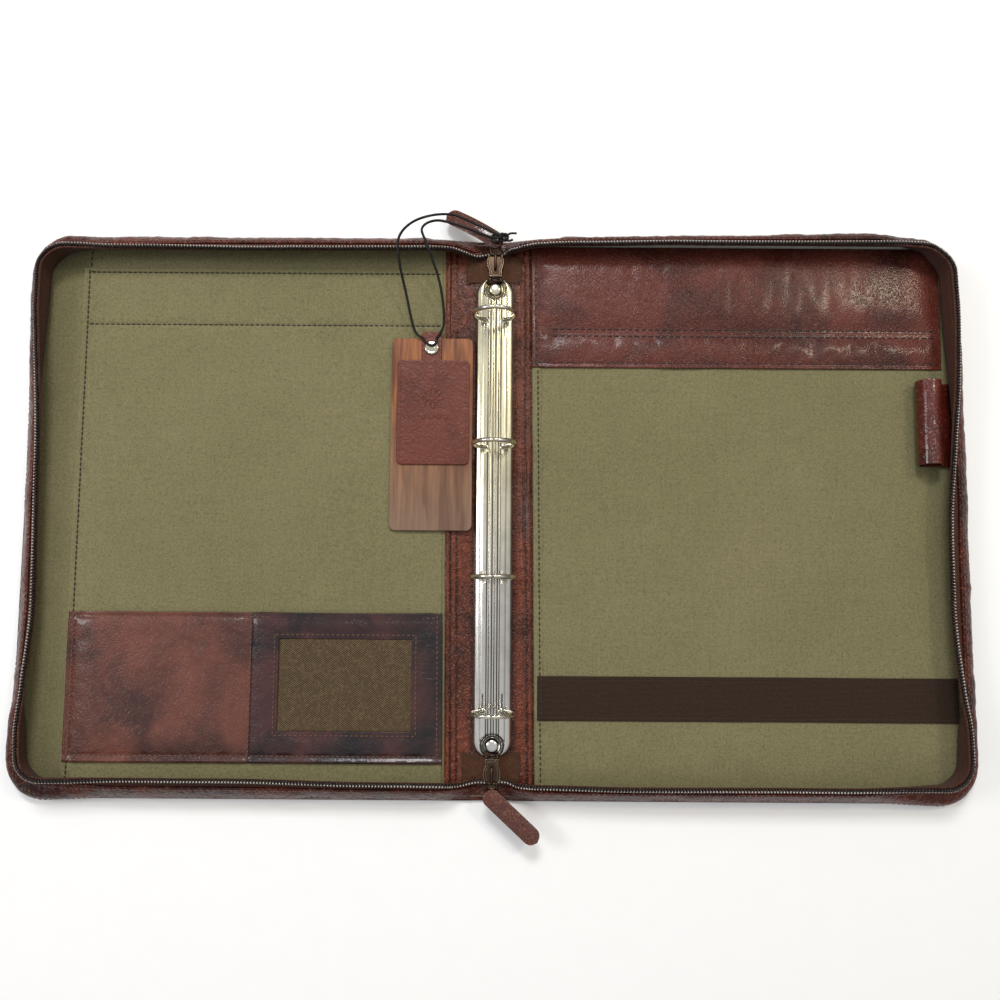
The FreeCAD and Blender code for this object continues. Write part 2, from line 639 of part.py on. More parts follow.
PIECES = {
    "spine_outer_leather": spine_outer_leather,
    "spine_board": spine_board,
    "spine_inner_leather": spine_inner_leather,
    "spine_end_gussets": spine_end_gussets,
    "ring_housing": ring_housing,
    "housing_rivets": housing_rivets,
    "rivet_burrs": rivet_burrs,
    "left_blade": lambda: mirror_left(right_blade()),
    "right_blade": right_blade,
    "left_half_rings": lambda: mirror_left(right_half_rings()),
    "right_half_rings": right_half_rings,
    "top_tail_tape": top_tail_tape,
    "bottom_tail_tape": lambda: mirror_bottom(top_tail_tape()),
    "top_tail_coil": top_tail_coil,
    "bottom_tail_coil": lambda: mirror_bottom(top_tail_coil()),
    "top_slider": top_slider,
    "bottom_slider": lambda: mirror_bottom(top_slider()),
    "top_pull_link": top_pull_link,
    "bottom_pull_link": lambda: mirror_bottom(top_pull_link()),
    "top_pull_tab": top_tab,
    "bottom_pull_tab": bottom_tab,
    "cord_knot": cord_knot,
    "left_outer_leather": lambda: mirror_left(outer_leather()),
    "right_outer_leather": outer_leather,
    "left_board": lambda: mirror_left(board()),
    "right_board": board,
    "left_padding": lambda: mirror_left(padding()),
    "right_padding": padding,
    "left_lining": lambda: mirror_left(lining(LEFT_LINING_START)),
    "right_lining": lambda: lining(RIGHT_LINING_START),
    "left_gusset": lambda: mirror_left(gusset()),
    "right_gusset": gusset,
    "left_wall_lining": lambda: mirror_left(wall_lining()),
    "right_wall_lining": wall_lining,
    "left_zip_tape": lambda: mirror_left(zip_tape()),
    "right_zip_tape": zip_tape,
    "left_zip_coil": lambda: mirror_left(zip_coil()),
    "right_zip_coil": zip_coil,
    "page_pocket_back": page_pocket_back,
    "page_pocket_front": page_pocket_front,
    "card_pocket": card_pocket,
    "window_fabric": window_fabric,
    "pad_panel": pad_panel,
    "elastic_strap": elastic_strap,
    "pen_loop": pen_loop,
    "tag_card": tag_card,
    "tag_patch": tag_patch,
    "tag_rivet": tag_rivet,
    "tag_cord": tag_cord,
}

os.makedirs("parts", exist_ok=True)
for name, make in PIECES.items():
    shape = make()
    assert shape.isValid(), name
    assert shape.Solids, name
    shape.exportStep("parts/" + name + ".step")
    print(name, len(shape.Solids), "solid(s)")
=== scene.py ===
import math

import bpy
import numpy as np
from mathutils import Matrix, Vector, noise


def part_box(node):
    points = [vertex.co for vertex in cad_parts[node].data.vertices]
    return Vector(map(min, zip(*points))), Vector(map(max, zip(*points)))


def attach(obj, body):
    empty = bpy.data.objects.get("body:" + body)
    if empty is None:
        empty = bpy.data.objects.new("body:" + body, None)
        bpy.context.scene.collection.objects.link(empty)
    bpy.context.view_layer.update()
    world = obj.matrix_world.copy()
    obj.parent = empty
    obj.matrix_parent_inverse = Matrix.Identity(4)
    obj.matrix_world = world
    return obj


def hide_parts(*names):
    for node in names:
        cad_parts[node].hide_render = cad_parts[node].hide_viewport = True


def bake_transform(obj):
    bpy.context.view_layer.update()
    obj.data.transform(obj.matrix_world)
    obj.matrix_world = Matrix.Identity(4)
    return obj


# The looks of a zip-around leather portfolio case, lying open and flat.
# Lengths are millimetres until a mesh is made. +X right cover, +Y top edge, +Z up.
# A side is -1 for the left cover and 1 for the right one.
# An end is 1 for the top of the spine and -1 for its bottom.

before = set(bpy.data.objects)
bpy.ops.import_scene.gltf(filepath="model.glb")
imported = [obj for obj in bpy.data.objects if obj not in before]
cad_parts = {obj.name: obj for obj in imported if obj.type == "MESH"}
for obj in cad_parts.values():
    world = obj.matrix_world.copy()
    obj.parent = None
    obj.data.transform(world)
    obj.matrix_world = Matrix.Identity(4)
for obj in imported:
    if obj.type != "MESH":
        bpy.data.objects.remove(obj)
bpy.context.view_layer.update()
MM = 0.001


def edges(node, left=0.0, right=0.0, bottom=0.0, top=0.0):
    """x0, x1, y0, y1 of a CAD node, each edge moved outward by this much."""
    low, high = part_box(node)
    moved = (low[0] / MM - left, high[0] / MM + right, low[1] / MM - bottom, high[1] / MM + top)
    return tuple(round(value, 1) for value in moved)


# ---- driving dimensions -------------------------------------------------------------
HALF_WIDTH = -edges("left_outer_leather")[0]
HALF_HEIGHT = edges("left_outer_leather")[3]
CORNER_R = 25.0
TOP_RUN = HALF_WIDTH - CORNER_R             # straight length from the middle to a corner
SIDE_RUN = 2 * (HALF_HEIGHT - CORNER_R)
ARC_RUN = CORNER_R * math.pi / 2
WALL_LENGTH = 2 * TOP_RUN + SIDE_RUN + 2 * ARC_RUN
FOLD = (19.0, 31.0)                         # |x| range that bend reads for the soft pieces beside the spine; nothing is bent over it
WALL_FOLD = (6.0, 50.0)                     # the same for the standing walls
LEAN = 3.0                                  # sideways lean of the layers beside the spine
LINING_Z = 6.0
POCKET_Z = 7.0
CARD_Z = 8.6
PAD_Z = 7.9
OUTSIDE_SEAM_Z = 0.12
RING_Y = [-120.0, -40.0, 40.0, 120.0]
RING_WIRE_R = 1.4
RING_R = 12.6
RING_Z = 22.0
RING_FOOT_X = 5.5
HOUSING_BASE = edges("ring_housing")[1]
HOUSING_HALF = edges("ring_housing")[3]
HOUSING_SHOULDER = 10.4
CUP_R = 7.6                                 # dished seat round each housing rivet
RIVET_Y = HOUSING_HALF - 5.8
PIVOT_Y = 170.0
COIL_PITCH = 1.85
COIL_START = 3.5                            # the zip's tape and coil begin here on each wall
TAB_LENGTH = 42.0
TAB_HALF = 5.3

# Seen edges of the sewn pieces, which cover their CAD solids by a little.
POCKET = edges("page_pocket_front", right=3.8, top=0.7)
CARD = edges("card_pocket", right=3.7)
WINDOW = edges("window_fabric", 0.1, 0.1, 0.1, 0.1)
DIVIDER_X = -146.0
PANEL = edges("pad_panel", left=2.4, right=1.0, top=0.5)
SLIT = (38.0, 274.0, 113.2)                 # x0, x1, y of the slit in the pad panel
STRAP = edges("elastic_strap", left=1.0, right=1.5)
TAG = edges("tag_card")
PATCH_NECK = 18.0
PATCH = edges("tag_patch", top=-PATCH_NECK)
TAG_RIVET = (-39.1, 102.0)

# Standing wall of each cover, as stations along the edge from the middle of the top edge
# to the middle of the bottom edge: distance, how far the coil stands in from the outline,
# how high it stands, how upright the wall is (0 leaning over, 1 upright tape), and how far
# the bulge of a leaning wall stands in from the outline.
LEFT_STATIONS = [
    (0, 12.6, 7.6, 0, 2.5), (4, 12.2, 7.9, 0, 2.5), (11, 13.7, 9, 0, 2.5), (28, 12, 18, 0, 2.5),
    (50, 13, 22, 0, 2.5), (150, 13.5, 22, 0, 2.5), (235, 13.3, 22.5, 0.2, 3), (262, 12.8, 24, 0.7, 3),
    (285, 13.0, 24.4, 1, 2.5), (308, 12.6, 24.4, 1, 2.5), (325, 12.6, 24.4, 0.9, 4),
    (350, 13.8, 24, 0.7, 6), (413, 16.2, 21.3, 0.15, 6), (511, 17.5, 20, 0, 6),
    (563, 16.5, 23, 0.2, 6), (590, 14.4, 24, 0.9, 4), (606, 14.6, 23.8, 1, 3), (622, 14.4, 24, 1, 3),
    (645, 14.2, 23.6, 0.7, 4), (690, 14.5, 22.3, 0, 4.2), (756, 14.5, 22, 0, 4.2),
    (846, 12.9, 22, 0, 4.2), (878, 12.7, 21, 0, 4), (887, 11.7, 14, 0, 4), (900, 13.2, 9, 0, 4),
    (WALL_LENGTH, 12.6, 7.6, 0, 4)]
RIGHT_STATIONS = [
    (0, 12.6, 7.6, 0, 2.5), (4, 12.2, 7.9, 0, 2), (10, 9.8, 11.5, 0, 2), (27, 9.5, 20, 0, 2),
    (50, 9.2, 22, 0, 1), (150, 8.4, 22.5, 0, -0.6), (235, 8.3, 23, 0, -2), (262, 9.6, 24.3, 0.4, -1),
    (285, 11.6, 24.4, 0.9, 1), (308, 11.4, 24.4, 1, 1), (335, 10.4, 24.2, 0.9, 1.5),
    (413, 14.3, 22, 0.3, 2.5), (455, 17.5, 21, 0, 2.5), (511, 18, 20, 0, 2.5),
    (563, 15.0, 22.5, 0.4, 2.5), (588, 12.4, 23.8, 0.9, 2), (606, 12.4, 24, 1, 2),
    (622, 12.4, 24, 1, 2), (645, 12.4, 23.6, 0.8, 4), (690, 11.5, 22.3, 0, 4), (800, 11, 22, 0, 4),
    (878, 11.5, 20.5, 0, 4), (891, 10.8, 14, 0, 4), (901, 13, 9, 0, 4), (WALL_LENGTH, 12.6, 7.6, 0, 4)]
KNEE_HEIGHT = 12.0                          # bulge of a wall that leans over
EDGE_HEIGHT = 18.4                          # top edge of its leather
UPRIGHT_KNEE = (0.6, 7.6)                   # the same two places where the wall stands upright
UPRIGHT_EDGE = (12.2, 10.6)


# ---- small sums ---------------------------------------------------------------------
def smooth(t):
    t = min(max(t, 0.0), 1.0)
    return t * t * (3 - 2 * t)


def between(value, low, high):
    """0 below low, 1 above high, smooth between."""
    return smooth((value - low) / (high - low))


def mix(a, b, t):
    return a + (b - a) * t


def ridge(distance, width):
    """1 at distance 0, falling to nothing over about twice the width."""
    return math.exp(-(distance / width) ** 2)


def wobble(x, y, size, seed):
    """Smooth random height between about -1 and 1, changing over lengths of size."""
    return noise.noise(Vector((x / size, y / size, seed * 7.31)))


def steps(start, end, spacing):
    count = max(2, int(round(abs(end - start) / spacing)) + 1)
    return [start + (end - start) * i / (count - 1) for i in range(count)]


def turn(sides):
    """Cosine and sine of the directions round a full turn."""
    angles = [2 * math.pi * k / sides for k in range(sides)]
    return [(math.cos(angle), math.sin(angle)) for angle in angles]


def arc(centre, radius, start, end, count):
    """Points (x, y) on an arc between two angles in degrees."""
    angles = [math.radians(mix(start, end, k / (count - 1))) for k in range(count)]
    return [(centre[0] + radius * math.cos(a), centre[1] + radius * math.sin(a)) for a in angles]


# ---- shaders ------------------------------------------------------------------------
def srgb(red, green, blue):
    """Linear colour for an 8-bit screen colour."""
    linear = [((c / 255 + 0.055) / 1.055) ** 2.4 if c > 10 else c / 255 / 12.92 for c in (red, green, blue)]
    return (*linear, 1.0)


def feed(tree, socket, value):
    """Sets a socket; three numbers are an 8-bit screen colour there, and four a linear one."""
    if isinstance(value, bpy.types.NodeSocket):
        tree.links.new(value, socket)
    elif socket.type == "RGBA" and len(value) == 3:
        socket.default_value = srgb(*value)
    else:
        socket.default_value = value


def add_node(tree, kind, inputs, **settings):
    made = tree.nodes.new("ShaderNode" + kind)
    for key, value in settings.items():
        setattr(made, key, value)
    for key, value in inputs.items():
        feed(tree, made.inputs[key], value)
    return made


class Shader:
    """Short way of building one procedural material."""

    def __init__(self, name, on_cad=False):
        self.material = bpy.data.materials.new(name)
        self.material.use_nodes = True
        self.tree = self.material.node_tree
        if on_cad:
            self.place = self.node("TexCoord", {}).outputs["Object"]
        else:
            self.place = self.node("Attribute", {}, attribute_name="rest").outputs["Vector"]

    def node(self, kind, inputs, **settings):
        return add_node(self.tree, kind, inputs, **settings)

    def scaled(self, x, y, z):
        """Coordinates stretched by these factors."""
        made = self.node("VectorMath", {0: self.place, 1: (x, y, z)}, operation="MULTIPLY")
        return made.outputs["Vector"]

    def axes(self):
        return self.node("SeparateXYZ", {0: self.place}).outputs

    def noise(self, scale, detail=3.0, rough=0.55, distort=0.0, place=None):
        inputs = {"Vector": place or self.place, "Scale": scale, "Detail": detail, "Roughness": rough,
                  "Distortion": distort}
        return self.node("TexNoise", inputs).outputs["Fac"]

    def cells(self, scale):
        return self.node("TexVoronoi", {"Vector": self.place, "Scale": scale}).outputs["Distance"]

    def waves(self, scale, direction, distort=0.0, place=None):
        inputs = {"Vector": place or self.place, "Scale": scale, "Distortion": distort, "Detail": 1.0}
        return self.node("TexWave", inputs, bands_direction=direction).outputs["Fac"]

    def ramp(self, value, low, high, start=0.0, end=1.0):
        """Straightens value from low..high to start..end."""
        inputs = {0: value, 1: low, 2: high, 3: start, 4: end}
        return self.node("MapRange", inputs).outputs[0]

    def blend(self, factor, a, b):
        return self.node("Mix", {0: factor, 6: a, 7: b}, data_type="RGBA").outputs[2]

    def calc(self, operation, a, b=0.0):
        return self.node("Math", {0: a, 1: b}, operation=operation).outputs[0]

    def distance(self, value, place=0.0):
        """How far value is from place, either way."""
        return self.calc("ABSOLUTE", self.calc("SUBTRACT", value, place))

    def lines_at(self, across, places, half_width):
        """1 where the distance across is one of these places, fading to 0 at half_width beside it."""
        marked = 0.0
        for place in places:
            away = self.distance(across, place * MM)
            line_here = self.ramp(away, 0.25 * half_width * MM, half_width * MM, 1.0, 0.0)
            marked = self.calc("MAXIMUM", marked, line_here)
        return marked

    def bump(self, height, strength, depth, under=None):
        inputs = {"Height": height, "Strength": strength, "Distance": depth * MM}
        if under is not None:
            inputs["Normal"] = under
        return self.node("Bump", inputs).outputs["Normal"]

    def finish(self, colour, rough, normal, metallic=0.0, coat=0.0, sheen=0.0, specular=0.5, wax=None):
        inputs = {"Base Color": colour, "Roughness": rough, "Normal": normal, "Metallic": metallic,
                  "Coat Weight": coat, "Coat Roughness": 0.17, "Sheen Weight": sheen,
                  "Specular IOR Level": specular}
        if wax is not None:
            inputs["Coat Normal"] = wax
        surface = self.tree.nodes["Principled BSDF"]
        for key, value in inputs.items():
            feed(self.tree, surface.inputs[key], value)
        return self.material


def leather(name, dark, mid, light, shine=0.3, blotch=0.5, grain=0.5, crease=0.5, polish=0.3,
            fineness=1.0, shaded_valleys=()):
    """Antiqued pull-up leather: dark blotches, worn lighter places, wrinkles and pebbled grain.

    The valley distances, from the leaning middle line, mark folds of the spine leather darkened by painted
    shade; a strip beside the ring housing is darkened by painted shade too."""
    s = Shader(name)
    clouds = s.noise(22.0, 4.0, 0.6, 0.6)
    colour = s.blend(s.ramp(clouds, blotch + 0.12, blotch - 0.14), mid, dark)
    folds = s.distance(s.noise(75.0, 3.0, 0.55, 1.2), 0.5)
    wrinkles = s.ramp(folds, 0.0, 0.05)
    colour = s.blend(s.ramp(wrinkles, 0.0, 1.0, 0.45 * crease, 0.0), colour, dark)
    # painted shade: darker beside the ring housing and along the folds of the spine leather
    if shaded_valleys:
        place = s.axes()
        leaning = s.calc("ADD", place["X"], s.calc("MULTIPLY", place["Y"], LEAN / 340))
        across = s.distance(leaning, -LEAN / 2 * MM)
        housing_shade = s.ramp(s.distance(place["X"]), 13.0 * MM, 15.0 * MM, 0.85, 0.0)
        shade = s.calc("MAXIMUM", housing_shade, s.lines_at(across, shaded_valleys, 1.1))
        colour = s.blend(s.calc("MULTIPLY", shade, 0.8), colour, dark)
    fine = s.noise(330.0 * fineness, 3.0, 0.6)
    pebbles = s.cells(480.0 * fineness)
    tops = s.calc("MULTIPLY", s.ramp(pebbles, 0.5, 0.1), s.ramp(fine, 0.42, 0.62))
    colour = s.blend(s.calc("MULTIPLY", tops, 0.32 * grain), colour, light)
    rubbed = s.ramp(s.noise(14.0, 3.0, 0.5), 0.36, 0.62, 0.35, 1.0)
    relief = s.calc("MULTIPLY", s.calc("ADD", s.ramp(pebbles, 0.6, 0.0), fine), rubbed)
    normal = s.bump(wrinkles, 0.8 * crease, 0.5)
    normal = s.bump(s.noise(60.0, 3.0), 0.4, 2.2, normal)
    normal = s.bump(relief, grain, 0.42, normal)
    wax = s.bump(relief, 0.30 * grain, 0.20)
    rough = s.ramp(fine, 0.3, 0.7, shine - 0.05, shine + 0.1)
    return s.finish(colour, rough, normal, coat=polish, specular=0.22, wax=wax)


def canvas(name, colour, dark, light):
    """Plain-woven cotton canvas: threads crossing, slubs and faint clouding."""
    s = Shader(name)
    weave = s.calc("MULTIPLY", s.waves(560.0, "X", 1.2), s.waves(560.0, "Y", 1.2))
    slubs_x = s.noise(1.0, 3.0, 0.6, 0.0, s.scaled(60.0, 1300.0, 60.0))
    slubs_y = s.noise(1.0, 3.0, 0.6, 0.0, s.scaled(1300.0, 60.0, 60.0))
    slubs = s.calc("MULTIPLY", s.calc("ADD", slubs_x, slubs_y), 0.5)
    flecks = s.noise(900.0, 2.0, 0.6)
    grain = s.noise(800.0, 2.0, 0.7)
    base = s.blend(s.ramp(s.noise(9.0, 4.0, 0.6), 0.32, 0.72), colour, light)
    base = s.blend(s.ramp(slubs, 0.38, 0.62, 0.20, 0.0), base, dark)
    base = s.blend(s.ramp(weave, 0.0, 0.5, 0.30, 0.0), base, dark)
    base = s.blend(s.ramp(flecks, 0.56, 0.72, 0.0, 0.55), base, dark)
    base = s.blend(s.ramp(grain, 0.5, 0.68, 0.0, 0.45), base, light)
    base = s.blend(s.ramp(grain, 0.5, 0.32, 0.0, 0.35), base, dark)
    normal = s.bump(slubs, 0.35, 0.3, s.bump(weave, 0.35, 0.25))
    return s.finish(base, 0.86, normal, sheen=0.15, specular=0.25)


def twill(name, colour, light, size, across=(0.62, 0.79, 0.0)):
    """Fabric with ribs that run square to the direction across."""
    s = Shader(name)
    along = s.node("VectorMath", {0: s.place, 1: across}, operation="DOT_PRODUCT").outputs["Value"]
    ribs = s.waves(size, "X", 0.8, along)
    threads = s.noise(700.0, 2.0, 0.6)
    base = s.blend(s.ramp(ribs, 0.35, 1.0, 0.0, 0.55), colour, light)
    base = s.blend(s.ramp(threads, 0.45, 0.7, 0.0, 0.3), base, light)
    normal = s.bump(threads, 0.3, 0.2, s.bump(ribs, 0.5, 0.3))
    return s.finish(base, 0.7, normal, sheen=0.05, specular=0.2)


def ribbed_elastic(name, colour, light):
    """Woven elastic: fine ribs along its length, crossed by short weft ridges."""
    s = Shader(name)
    ribs = s.waves(430.0, "Y", 0.4)
    weft = s.waves(640.0, "X", 0.8)
    fuzz = s.noise(800.0, 3.0, 0.6)
    base = s.blend(s.ramp(ribs, 0.2, 1.0, 0.0, 0.5), colour, light)
    base = s.blend(s.ramp(fuzz, 0.45, 0.75, 0.0, 0.4), base, light)
    normal = s.bump(weft, 0.25, 0.2, s.bump(ribs, 0.5, 0.3))
    return s.finish(base, 0.8, normal, sheen=0.05, specular=0.2)


def metal(name, colour, tarnish, rough, wear=0.3, scratches=0.15, on_cad=False):
    """Plated metal with a little tarnish, fine scratches and uneven polish."""
    s = Shader(name, on_cad)
    patches = s.noise(60.0, 4.0, 0.6)
    hairs = s.noise(1.0, 2.0, 0.5, 0.0, s.scaled(900.0, 60.0, 900.0))
    base = s.blend(s.ramp(patches, 0.45, 0.75, 0.0, wear), colour, tarnish)
    polish = s.ramp(patches, 0.3, 0.7, rough * 0.75, rough * 1.35)
    normal = s.bump(s.noise(120.0, 2.0), 0.15, 0.12, s.bump(hairs, scratches, 0.05))
    return s.finish(base, polish, normal, metallic=1.0)


def pressed_metal(name, colour, top_reflection_tint, grime_and_shade_colour, rough, grooves, rings):
    """Plated sheet with dark patches at random, painted shade along its grooves and round its rivets, and a
    painted reflection that makes it yellower towards its top end.

    Lines of painted shade run along Y at these groove distances from the middle, and round each rivet at
    these ring radii."""
    s = Shader(name)
    place = s.axes()
    across = s.distance(place["X"])
    along = s.calc("SUBTRACT", s.distance(place["Y"]), RIVET_Y * MM)
    squares = s.calc("ADD", s.calc("MULTIPLY", across, across), s.calc("MULTIPLY", along, along))
    grime_and_shade_mask = s.ramp(s.noise(40.0, 4.0, 0.6), 0.42, 0.75, 0.0, 0.35)
    # painted shade: dark lines along the pressed grooves and round the dished seats
    grime_and_shade_mask = s.calc("MAXIMUM", grime_and_shade_mask, s.lines_at(across, grooves, 0.6))
    grime_and_shade_mask = s.calc("MAXIMUM", grime_and_shade_mask, s.lines_at(s.calc("SQRT", squares), rings, 0.7))
    hairs = s.noise(1.0, 2.0, 0.5, 0.0, s.scaled(900.0, 40.0, 900.0))
    # painted reflection: yellower towards the top end
    base = s.blend(s.ramp(place["Y"], -0.06, 0.03), colour, top_reflection_tint)
    polish = s.ramp(hairs, 0.3, 0.7, rough, rough + 0.12)
    return s.finish(s.blend(grime_and_shade_mask, base, grime_and_shade_colour), polish, s.bump(hairs, 0.12, 0.05), metallic=1.0)


def nylon(name, colour, light, rough, gloss=0.5):
    """Smooth plastic or rubber with faint streaks."""
    s = Shader(name)
    streaks = s.noise(300.0, 3.0, 0.6)
    base = s.blend(s.ramp(streaks, 0.4, 0.7, 0.0, 0.5), colour, light)
    polish = s.ramp(streaks, 0.3, 0.7, rough, rough + 0.15)
    return s.finish(base, polish, s.bump(streaks, 0.2, 0.05), coat=gloss, specular=0.3)


def thread(name, colour, light):
    """Twisted sewing thread."""
    s = Shader(name)
    twist = s.waves(1500.0, "DIAGONAL", 1.0)
    return s.finish(s.blend(twist, colour, light), 0.55, s.bump(twist, 0.4, 0.06), sheen=0.2)


def wood_look_card(name):
    """Varnished card with a warm grain that greys towards its lower end."""
    s = Shader(name)
    streaks = s.noise(1.0, 4.0, 0.6, 0.4, s.scaled(420.0, 26.0, 200.0))
    rings = s.noise(1.0, 2.0, 0.5, 0.8, s.scaled(90.0, 9.0, 60.0))
    warm = s.blend(s.ramp(streaks, 0.35, 0.7), (96, 48, 22), (168, 106, 60))
    cool = s.blend(s.ramp(streaks, 0.2, 0.85), (112, 84, 66), (138, 112, 92))
    base = s.blend(s.ramp(s.axes()["Y"], 0.075, -0.005), warm, cool)
    base = s.blend(s.ramp(rings, 0.52, 0.62, 0.0, 0.45), base, (70, 36, 20))
    return s.finish(base, s.ramp(streaks, 0.3, 0.7, 0.38, 0.5), s.bump(streaks, 0.2, 0.08), specular=0.3)


def fibre(name, colour, light, scale):
    """Greyboard and felt: short fibres in every direction."""
    s = Shader(name, on_cad=True)
    specks = s.noise(scale, 4.0, 0.7)
    base = s.blend(s.ramp(specks, 0.35, 0.65), colour, light)
    return s.finish(base, 0.9, s.bump(specks, 0.4, 0.2), specular=0.2)


def floor_finish():
    s = Shader("floor_paper", on_cad=True)
    specks = s.noise(60.0)
    base = s.blend(specks, (0.93, 0.93, 0.93, 1), (0.96, 0.96, 0.96, 1))
    return s.finish(base, 0.9, s.bump(specks, 0.03, 0.2), specular=0.05)


# colour of the metal's dark patches and of the painted shade in its grooves
DARK_GRIME_AND_SHADE = (0.10, 0.085, 0.065, 1)
MATERIALS = {
    "wall": leather("wall_leather", (30, 13, 11), (86, 36, 26), (196, 118, 84),
                    shine=0.32, blotch=0.46, grain=1.1, crease=1.0, polish=0.08),
    "outer": leather("outer_leather", (28, 13, 11), (78, 36, 26), (132, 74, 52), shine=0.36, blotch=0.46),
    "spine": leather("spine_leather", (34, 14, 10), (104, 50, 33), (190, 120, 84), blotch=0.42,
                     grain=1.3, crease=0.8, polish=0.15, fineness=1.5, shaded_valleys=(21.2, 25.0)),
    "panel": leather("panel_leather", (52, 21, 18), (92, 42, 34), (160, 106, 76), shine=0.28,
                     blotch=0.44, grain=1.2, crease=0.3, polish=0.20, fineness=1.8),
    "card_red": leather("card_leather_red", (62, 34, 30), (106, 60, 48), (160, 120, 92),
                        grain=0.6, crease=0.35, polish=0.4, fineness=1.5),
    "card_dark": leather("card_leather_dark", (26, 19, 22), (74, 40, 38), (110, 76, 68),
                         blotch=0.53, crease=0.35, polish=0.4, fineness=1.5),
    "loop": leather("loop_leather", (44, 14, 10), (88, 30, 22), (176, 112, 90),
                    shine=0.2, blotch=0.44, grain=0.9, polish=0.7),
    "tab": leather("tab_leather", (30, 12, 9), (84, 36, 23), (204, 134, 84), shine=0.22,
                   blotch=0.44, grain=1.2, crease=0.6, polish=0.8, fineness=1.5),
    "patch": leather("patch_leather", (58, 24, 16), (102, 50, 36), (128, 76, 56),
                     shine=0.4, blotch=0.36, crease=0.4, polish=0.2),
    "canvas": canvas("khaki_canvas", (124, 119, 84), (72, 71, 45), (137, 129, 95)),
    "tape": twill("zip_tape", (52, 27, 18), (108, 68, 50), 520.0, across=(0.4, 0.4, 1.0)),
    "tail": twill("zip_tail", (44, 24, 14), (112, 72, 44), 380.0),
    "window": twill("window_twill", (46, 35, 20), (134, 112, 82), 300.0),
    "elastic": ribbed_elastic("strap_elastic", (36, 24, 16), (72, 54, 42)),
    "chrome": metal("nickel", (0.58, 0.54, 0.44, 1), (0.30, 0.25, 0.15, 1), 0.12, scratches=0.03),
    "sheet": pressed_metal("housing_nickel", (0.66, 0.64, 0.61, 1), (0.74, 0.69, 0.50, 1), DARK_GRIME_AND_SHADE, 0.16,
                           grooves=(0.75, 2.55, 3.9), rings=(6.9,)),
    "rivet": pressed_metal("rivet_nickel", (0.62, 0.61, 0.60, 1), (0.74, 0.70, 0.54, 1), DARK_GRIME_AND_SHADE, 0.14,
                           grooves=(), rings=(3.9, 5.3)),
    "ring": metal("ring_nickel", (0.80, 0.76, 0.64, 1), (0.40, 0.34, 0.22, 1), 0.16),
    "bronze": metal("bronze", (0.062, 0.038, 0.026, 1), (0.13, 0.09, 0.055, 1), 0.34, 0.6, 0.3),
    "rubbed_bronze": metal("rubbed_bronze", (0.30, 0.22, 0.15, 1), (0.16, 0.11, 0.07, 1), 0.26, 0.6, 0.3),
    "steel": metal("plain_steel", (0.52, 0.52, 0.50, 1), (0.36, 0.33, 0.30, 1), 0.34, on_cad=True),
    "coil": nylon("coil_nylon", (34, 24, 20), (74, 60, 54), 0.2),
    # near-black cord inside the coil: a real cord, coloured as painted shade between the turns
    "coil_core": nylon("coil_core", (10, 7, 6), (20, 14, 12), 0.6, gloss=0.0),
    # pale beads on the coil's crests: painted highlights
    "coil_head": nylon("coil_head", (190, 178, 166), (222, 214, 204), 0.1),
    "cord": nylon("cord_rubber", (10, 10, 10), (24, 24, 24), 0.5, gloss=0.0),
    "dark_thread": thread("dark_thread", (14, 9, 7), (36, 22, 17)),
    "brown_thread": thread("brown_thread", (34, 17, 12), (128, 84, 64)),
    "card": wood_look_card("tag_card"),
    "board": fibre("greyboard", (150, 143, 130), (186, 178, 164), 500.0),
    "felt": fibre("felt", (206, 204, 196), (232, 230, 224), 700.0),
}


# ---- meshes -------------------------------------------------------------------------
def make(name, points, faces, material, slot, soft=True):
    """A mesh object from points in millimetres, keeping its rest place for the shaders."""
    points = np.array(points, float).reshape(-1, 3) * MM
    mesh = bpy.data.meshes.new(name)
    mesh.from_pydata(points.tolist(), [], faces)
    mesh.validate()
    mesh.polygons.foreach_set("use_smooth", [soft] * len(mesh.polygons))
    rest = mesh.attributes.new("rest", "FLOAT_VECTOR", "POINT")
    rest.data.foreach_set("vector", np.array([v.co for v in mesh.vertices]).ravel())
    mesh.materials.append(MATERIALS[material])
    obj = bpy.data.objects.new(name, mesh)
    bpy.context.scene.collection.objects.link(obj)
    return obj


def quads(rows, columns, skip=None):
    """Faces of a grid of points laid out row by row, upward when rows run along +X and columns along +Y."""
    faces = []
    for i in range(rows - 1):
        for j in range(columns - 1):
            if skip is None or not skip(i, j):
                a = i * columns + j
                faces.append((a, a + columns, a + columns + 1, a + 1))
    return faces


def turned(faces):
    return [face[::-1] for face in faces]


def upward(faces, side):
    """Faces turned over for a grid mirrored to the side -1."""
    return faces if side > 0 else turned(faces)


def sheet(name, xs, ys, place, material, slot, side=1, skip=None):
    """An open mesh with one point, place(x, y), for each x and each y."""
    points = [place(x, y) for x in xs for y in ys]
    return make(name, points, upward(quads(len(xs), len(ys), skip), side), material, slot)


def thicken(obj, thickness, rim=0.0, inward=-1.0, softer=False):
    """Gives a sheet its thickness, below the modelled side, rounds its rim, and subdivides it."""
    solid = obj.modifiers.new("thickness", "SOLIDIFY")
    solid.thickness = thickness * MM
    solid.offset = inward
    if rim:
        round_edges(obj, rim)
    if softer:
        soften(obj)


def round_edges(obj, width, angle=50):
    edge = obj.modifiers.new("rounding", "BEVEL")
    edge.width = width * MM
    edge.segments = 2
    edge.limit_method = "ANGLE"
    edge.angle_limit = math.radians(angle)
    edge.harden_normals = False


def soften(obj):
    finer = obj.modifiers.new("finer", "SUBSURF")
    finer.levels = 1
    finer.render_levels = 1


def bands(rings, sides):
    """Faces between rings of points stacked upwards, each turning from +X to +Y."""
    faces = []
    for i in range(rings - 1):
        for k in range(sides):
            a = i * sides + k
            b = i * sides + (k + 1) % sides
            faces.append((a, b, b + sides, a + sides))
    return faces


